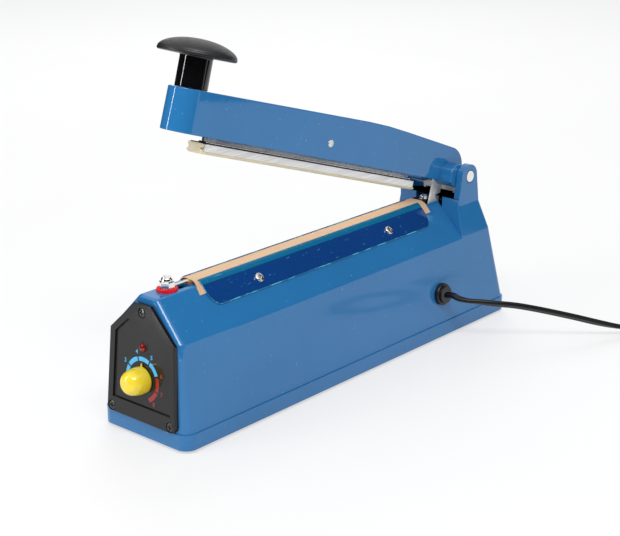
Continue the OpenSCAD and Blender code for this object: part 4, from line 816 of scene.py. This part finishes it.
# Full section of the silicone past the front end of the press channel
BAR_END = ARM @ Matrix(((0, 0, 1, 0), (1, 0, 0, 0), (0, 1, 0, 0), (0, 0, 0, 1)))
bow = [(-4.5, -16.7), (4.5, -16.7), (6.2, -15.9), (6.2, -15.3), (5.1, -13.8), (5.1, -13.3), (6.2, -11.8), (6.2, -10.9),
       (5.9, -10.7)]
bow += [(-y, z) for y, z in reversed(bow[2:])]
piece("silicone_end", finished(prism(bow, -245.55, -244.45, BAR_END), "silicone_end", 50), "press_bar", silicone)

# Glue that holds the silicone at the front end of the press channel
GLUE = ARM @ shift(-245.4, -5.1, -13.6)
glue_bm = bmesh.new()
bmesh.ops.create_icosphere(glue_bm, subdivisions=2, radius=0.55 * MM, matrix=GLUE)
piece("glue_spot", finished(glue_bm, "glue_spot", 80), "press_bar", amber)


# Non-stick cloth, drawn down over both sides of the insulating strip
def drape(side, t):
    """Underside of the cloth across the ridge, from its middle to one edge, with the way it faces."""
    flat, turn, lean = 3.2, 5.709, 46.697
    down = Vector(polar(1, -lean))
    if t < 0.2:
        return Vector((side * flat * t / 0.2, 86.55)), Vector((0, 1))
    if t < 0.6:
        k = (t - 0.2) / 0.4
        start, bend = Vector((flat, 86.55)), Vector((turn, 86.55))
        end = bend + (turn - flat) * down
        p = (1 - k) ** 2 * start + 2 * k * (1 - k) * bend + k * k * end
        d = ((1 - k) * (bend - start) + k * (end - bend)).normalized()
    else:
        start = Vector((turn, 86.55)) + (turn - flat) * down
        p = start + down * ((11.8 - start.x) / down.x * (t - 0.6) / 0.4)
        d = down
    return Vector((side * p.x, p.y)), Vector((-side * d.y, d.x))


CLOTH_T, CLOTH_X0, CLOTH_X1 = 0.4, -121.5, 98.5
across = [drape(-1, 1 - k / 20) for k in range(20)] + [drape(1, k / 20) for k in range(21)]
lengthwise = [CLOTH_X0 + (CLOTH_X1 - CLOTH_X0) * k / 180 for k in range(181)]
cloth_bm = bmesh.new()
layers = []
for lift in (0.0, CLOTH_T):
    grid = []
    for i, x in enumerate(lengthwise):
        row = []
        for j, (p, facing) in enumerate(across):
            fray = 0.16 * math.sin(j * 2.3) * math.sin(j * 0.7 + i) if i in (0, 180) else 0
            skew = (3.6 * min(1, j / 24) - 1.2) * max(0, 1 - (x - CLOTH_X0) / 30)
            wave = 0.03 * math.sin(x * 0.21 + j * 0.5) * math.sin(x * 0.053) if lift else 0
            q = p + facing * (lift + wave)
            row.append(cloth_bm.verts.new(at(x + fray + skew, q.x, q.y)))
        grid.append(row)
    layers.append(grid)
for grid in layers:
    for low, high in zip(grid, grid[1:]):
        for j in range(len(across) - 1):
            cloth_bm.faces.new((low[j], low[j + 1], high[j + 1], high[j]))
under, over = layers
for i in range(180):
    for j in (0, -1):
        cloth_bm.faces.new((under[i][j], over[i][j], over[i + 1][j], under[i + 1][j]))
for i in (0, -1):
    for j in range(len(across) - 1):
        cloth_bm.faces.new((under[i][j], over[i][j], over[i][j + 1], under[i][j + 1]))
cloth = piece("cloth", finished(cloth_bm, "cloth", 40), "base", cloth_tan, ("nonstick_cloth",))


# Floor, lights and background
def light(name, location, target, size, size_y, power):
    data = bpy.data.lights.new(name, "AREA")
    data.shape = "RECTANGLE"
    data.size = size
    data.size_y = size_y
    data.energy = power
    obj = bpy.data.objects.new(name, data)
    obj.location = location
    obj.rotation_euler = look(Vector(location), Vector(target))
    scene.collection.objects.link(obj)
    return obj


bm = bmesh.new()
bmesh.ops.create_grid(bm, x_segments=1, y_segments=1, size=6)
floor = bpy.data.objects.new("floor", finished(bm, "floor"))
scene.collection.objects.link(floor)
floor_mat, floor_shader = blank("floor_pale", Roughness=0.9)
link(floor_mat, ramp(floor_mat, noise(floor_mat, 3), (0.3, (0.86, 0.86, 0.86)), (0.7, (0.89, 0.89, 0.89))),
     floor_shader.inputs["Base Color"])
floor_path = add(floor_mat, "ShaderNodeLightPath")
floor_glow = add(floor_mat, "ShaderNodeEmission")
floor_mix = add(floor_mat, "ShaderNodeMixShader")
floor_share = add(floor_mat, "ShaderNodeMath", operation="MULTIPLY")
seen = add(floor_mat, "ShaderNodeMath", operation="MAXIMUM")
seen_all = add(floor_mat, "ShaderNodeMath", operation="MAXIMUM")
link(floor_mat, floor_path.outputs["Is Camera Ray"], seen.inputs[0])
link(floor_mat, floor_path.outputs["Is Glossy Ray"], seen.inputs[1])
link(floor_mat, seen.outputs[0], seen_all.inputs[0])
link(floor_mat, floor_path.outputs["Is Transmission Ray"], seen_all.inputs[1])
link(floor_mat, seen_all.outputs[0], floor_share.inputs[0])
floor_share.inputs[1].default_value = 0.55
link(floor_mat, floor_share.outputs[0], floor_mix.inputs[0])
link(floor_mat, floor_shader.outputs[0], floor_mix.inputs[1])
link(floor_mat, floor_glow.outputs[0], floor_mix.inputs[2])
link(floor_mat, floor_mix.outputs[0], floor_mat.node_tree.nodes["Material Output"].inputs["Surface"])
floor.data.materials.append(floor_mat)

world = bpy.data.worlds.new("studio")
scene.world = world
world.use_nodes = True
tree = world.node_tree
ambient = tree.nodes["Background"]
ambient.inputs["Color"].default_value = (0.97, 0.98, 1, 1)
ambient.inputs["Strength"].default_value = 0.55
white = tree.nodes.new("ShaderNodeBackground")
white.inputs["Color"].default_value = (1, 1, 1, 1)
white.inputs["Strength"].default_value = 1
path = tree.nodes.new("ShaderNodeLightPath")
either = tree.nodes.new("ShaderNodeMath")
either.operation = "MAXIMUM"
every = tree.nodes.new("ShaderNodeMath")
every.operation = "MAXIMUM"
choose = tree.nodes.new("ShaderNodeMixShader")
tree.links.new(path.outputs["Is Camera Ray"], either.inputs[0])
tree.links.new(path.outputs["Is Glossy Ray"], either.inputs[1])
tree.links.new(either.outputs[0], every.inputs[0])
tree.links.new(path.outputs["Is Transmission Ray"], every.inputs[1])
tree.links.new(every.outputs[0], choose.inputs[0])
tree.links.new(ambient.outputs[0], choose.inputs[1])
tree.links.new(white.outputs[0], choose.inputs[2])
tree.links.new(choose.outputs[0], tree.nodes["World Output"].inputs["Surface"])

# Dark screens and narrow lamps that only show as reflections
CAMERA_SIDE = math.degrees(math.atan2(camera.location.y, camera.location.x - base_x))


def screen(name, left, right, radius, low, high):
    """An upright curved screen; its ends are degrees to the right of the camera, seen from it."""
    bm = bmesh.new()
    rows = []
    for k in range(25):
        x, y = polar(radius, CAMERA_SIDE + left + (right - left) * k / 24)
        rows.append([bm.verts.new((base_x + x, y, z)) for z in (low, high)])
    for a, b in zip(rows, rows[1:]):
        bm.faces.new((a[0], b[0], b[1], a[1]))
    obj = bpy.data.objects.new(name, finished(bm, name))
    scene.collection.objects.link(obj)
    obj.data.materials.append(flag_black)
    for way in ("camera", "diffuse", "shadow", "transmission", "volume_scatter"):
        setattr(obj, "visible_" + way, False)


screen("screen_front", -150, 66, 0.45, 0.0, 0.42)
screen("screen_right", 84, 132, 0.8, 0.0, 1.4)


def glint(name, degrees, radius, height, wide, tall, power):
    x, y = polar(radius, CAMERA_SIDE + degrees)
    lamp = light(name, (base_x + x, y, height), (base_x, 0, height), wide, tall, power)
    lamp.visible_diffuse = False


light("key", (-0.75, -0.75, 1.45), (0, 0, 0.05), 1.1, 0.4, 15)
for name, place, power in (("fill", (-1.4, 0.5, 0.8), 6), ("back", (0.9, 0.9, 1.1), 8)):
    soft = light(name, place, (0, 0, 0.06), 0.8, 0.8, power)
    soft.visible_glossy = False
glint("glint_left", -66, 0.42, 0.2, 0.025, 0.4, 0.6)

# The put-away cord isn't mirrored in the paint
for name in ("mains_cord", "dressed_plug_body", "dressed_plug_pins", "dressed_cord_tie"):
    bpy.data.objects[name].visible_glossy = False
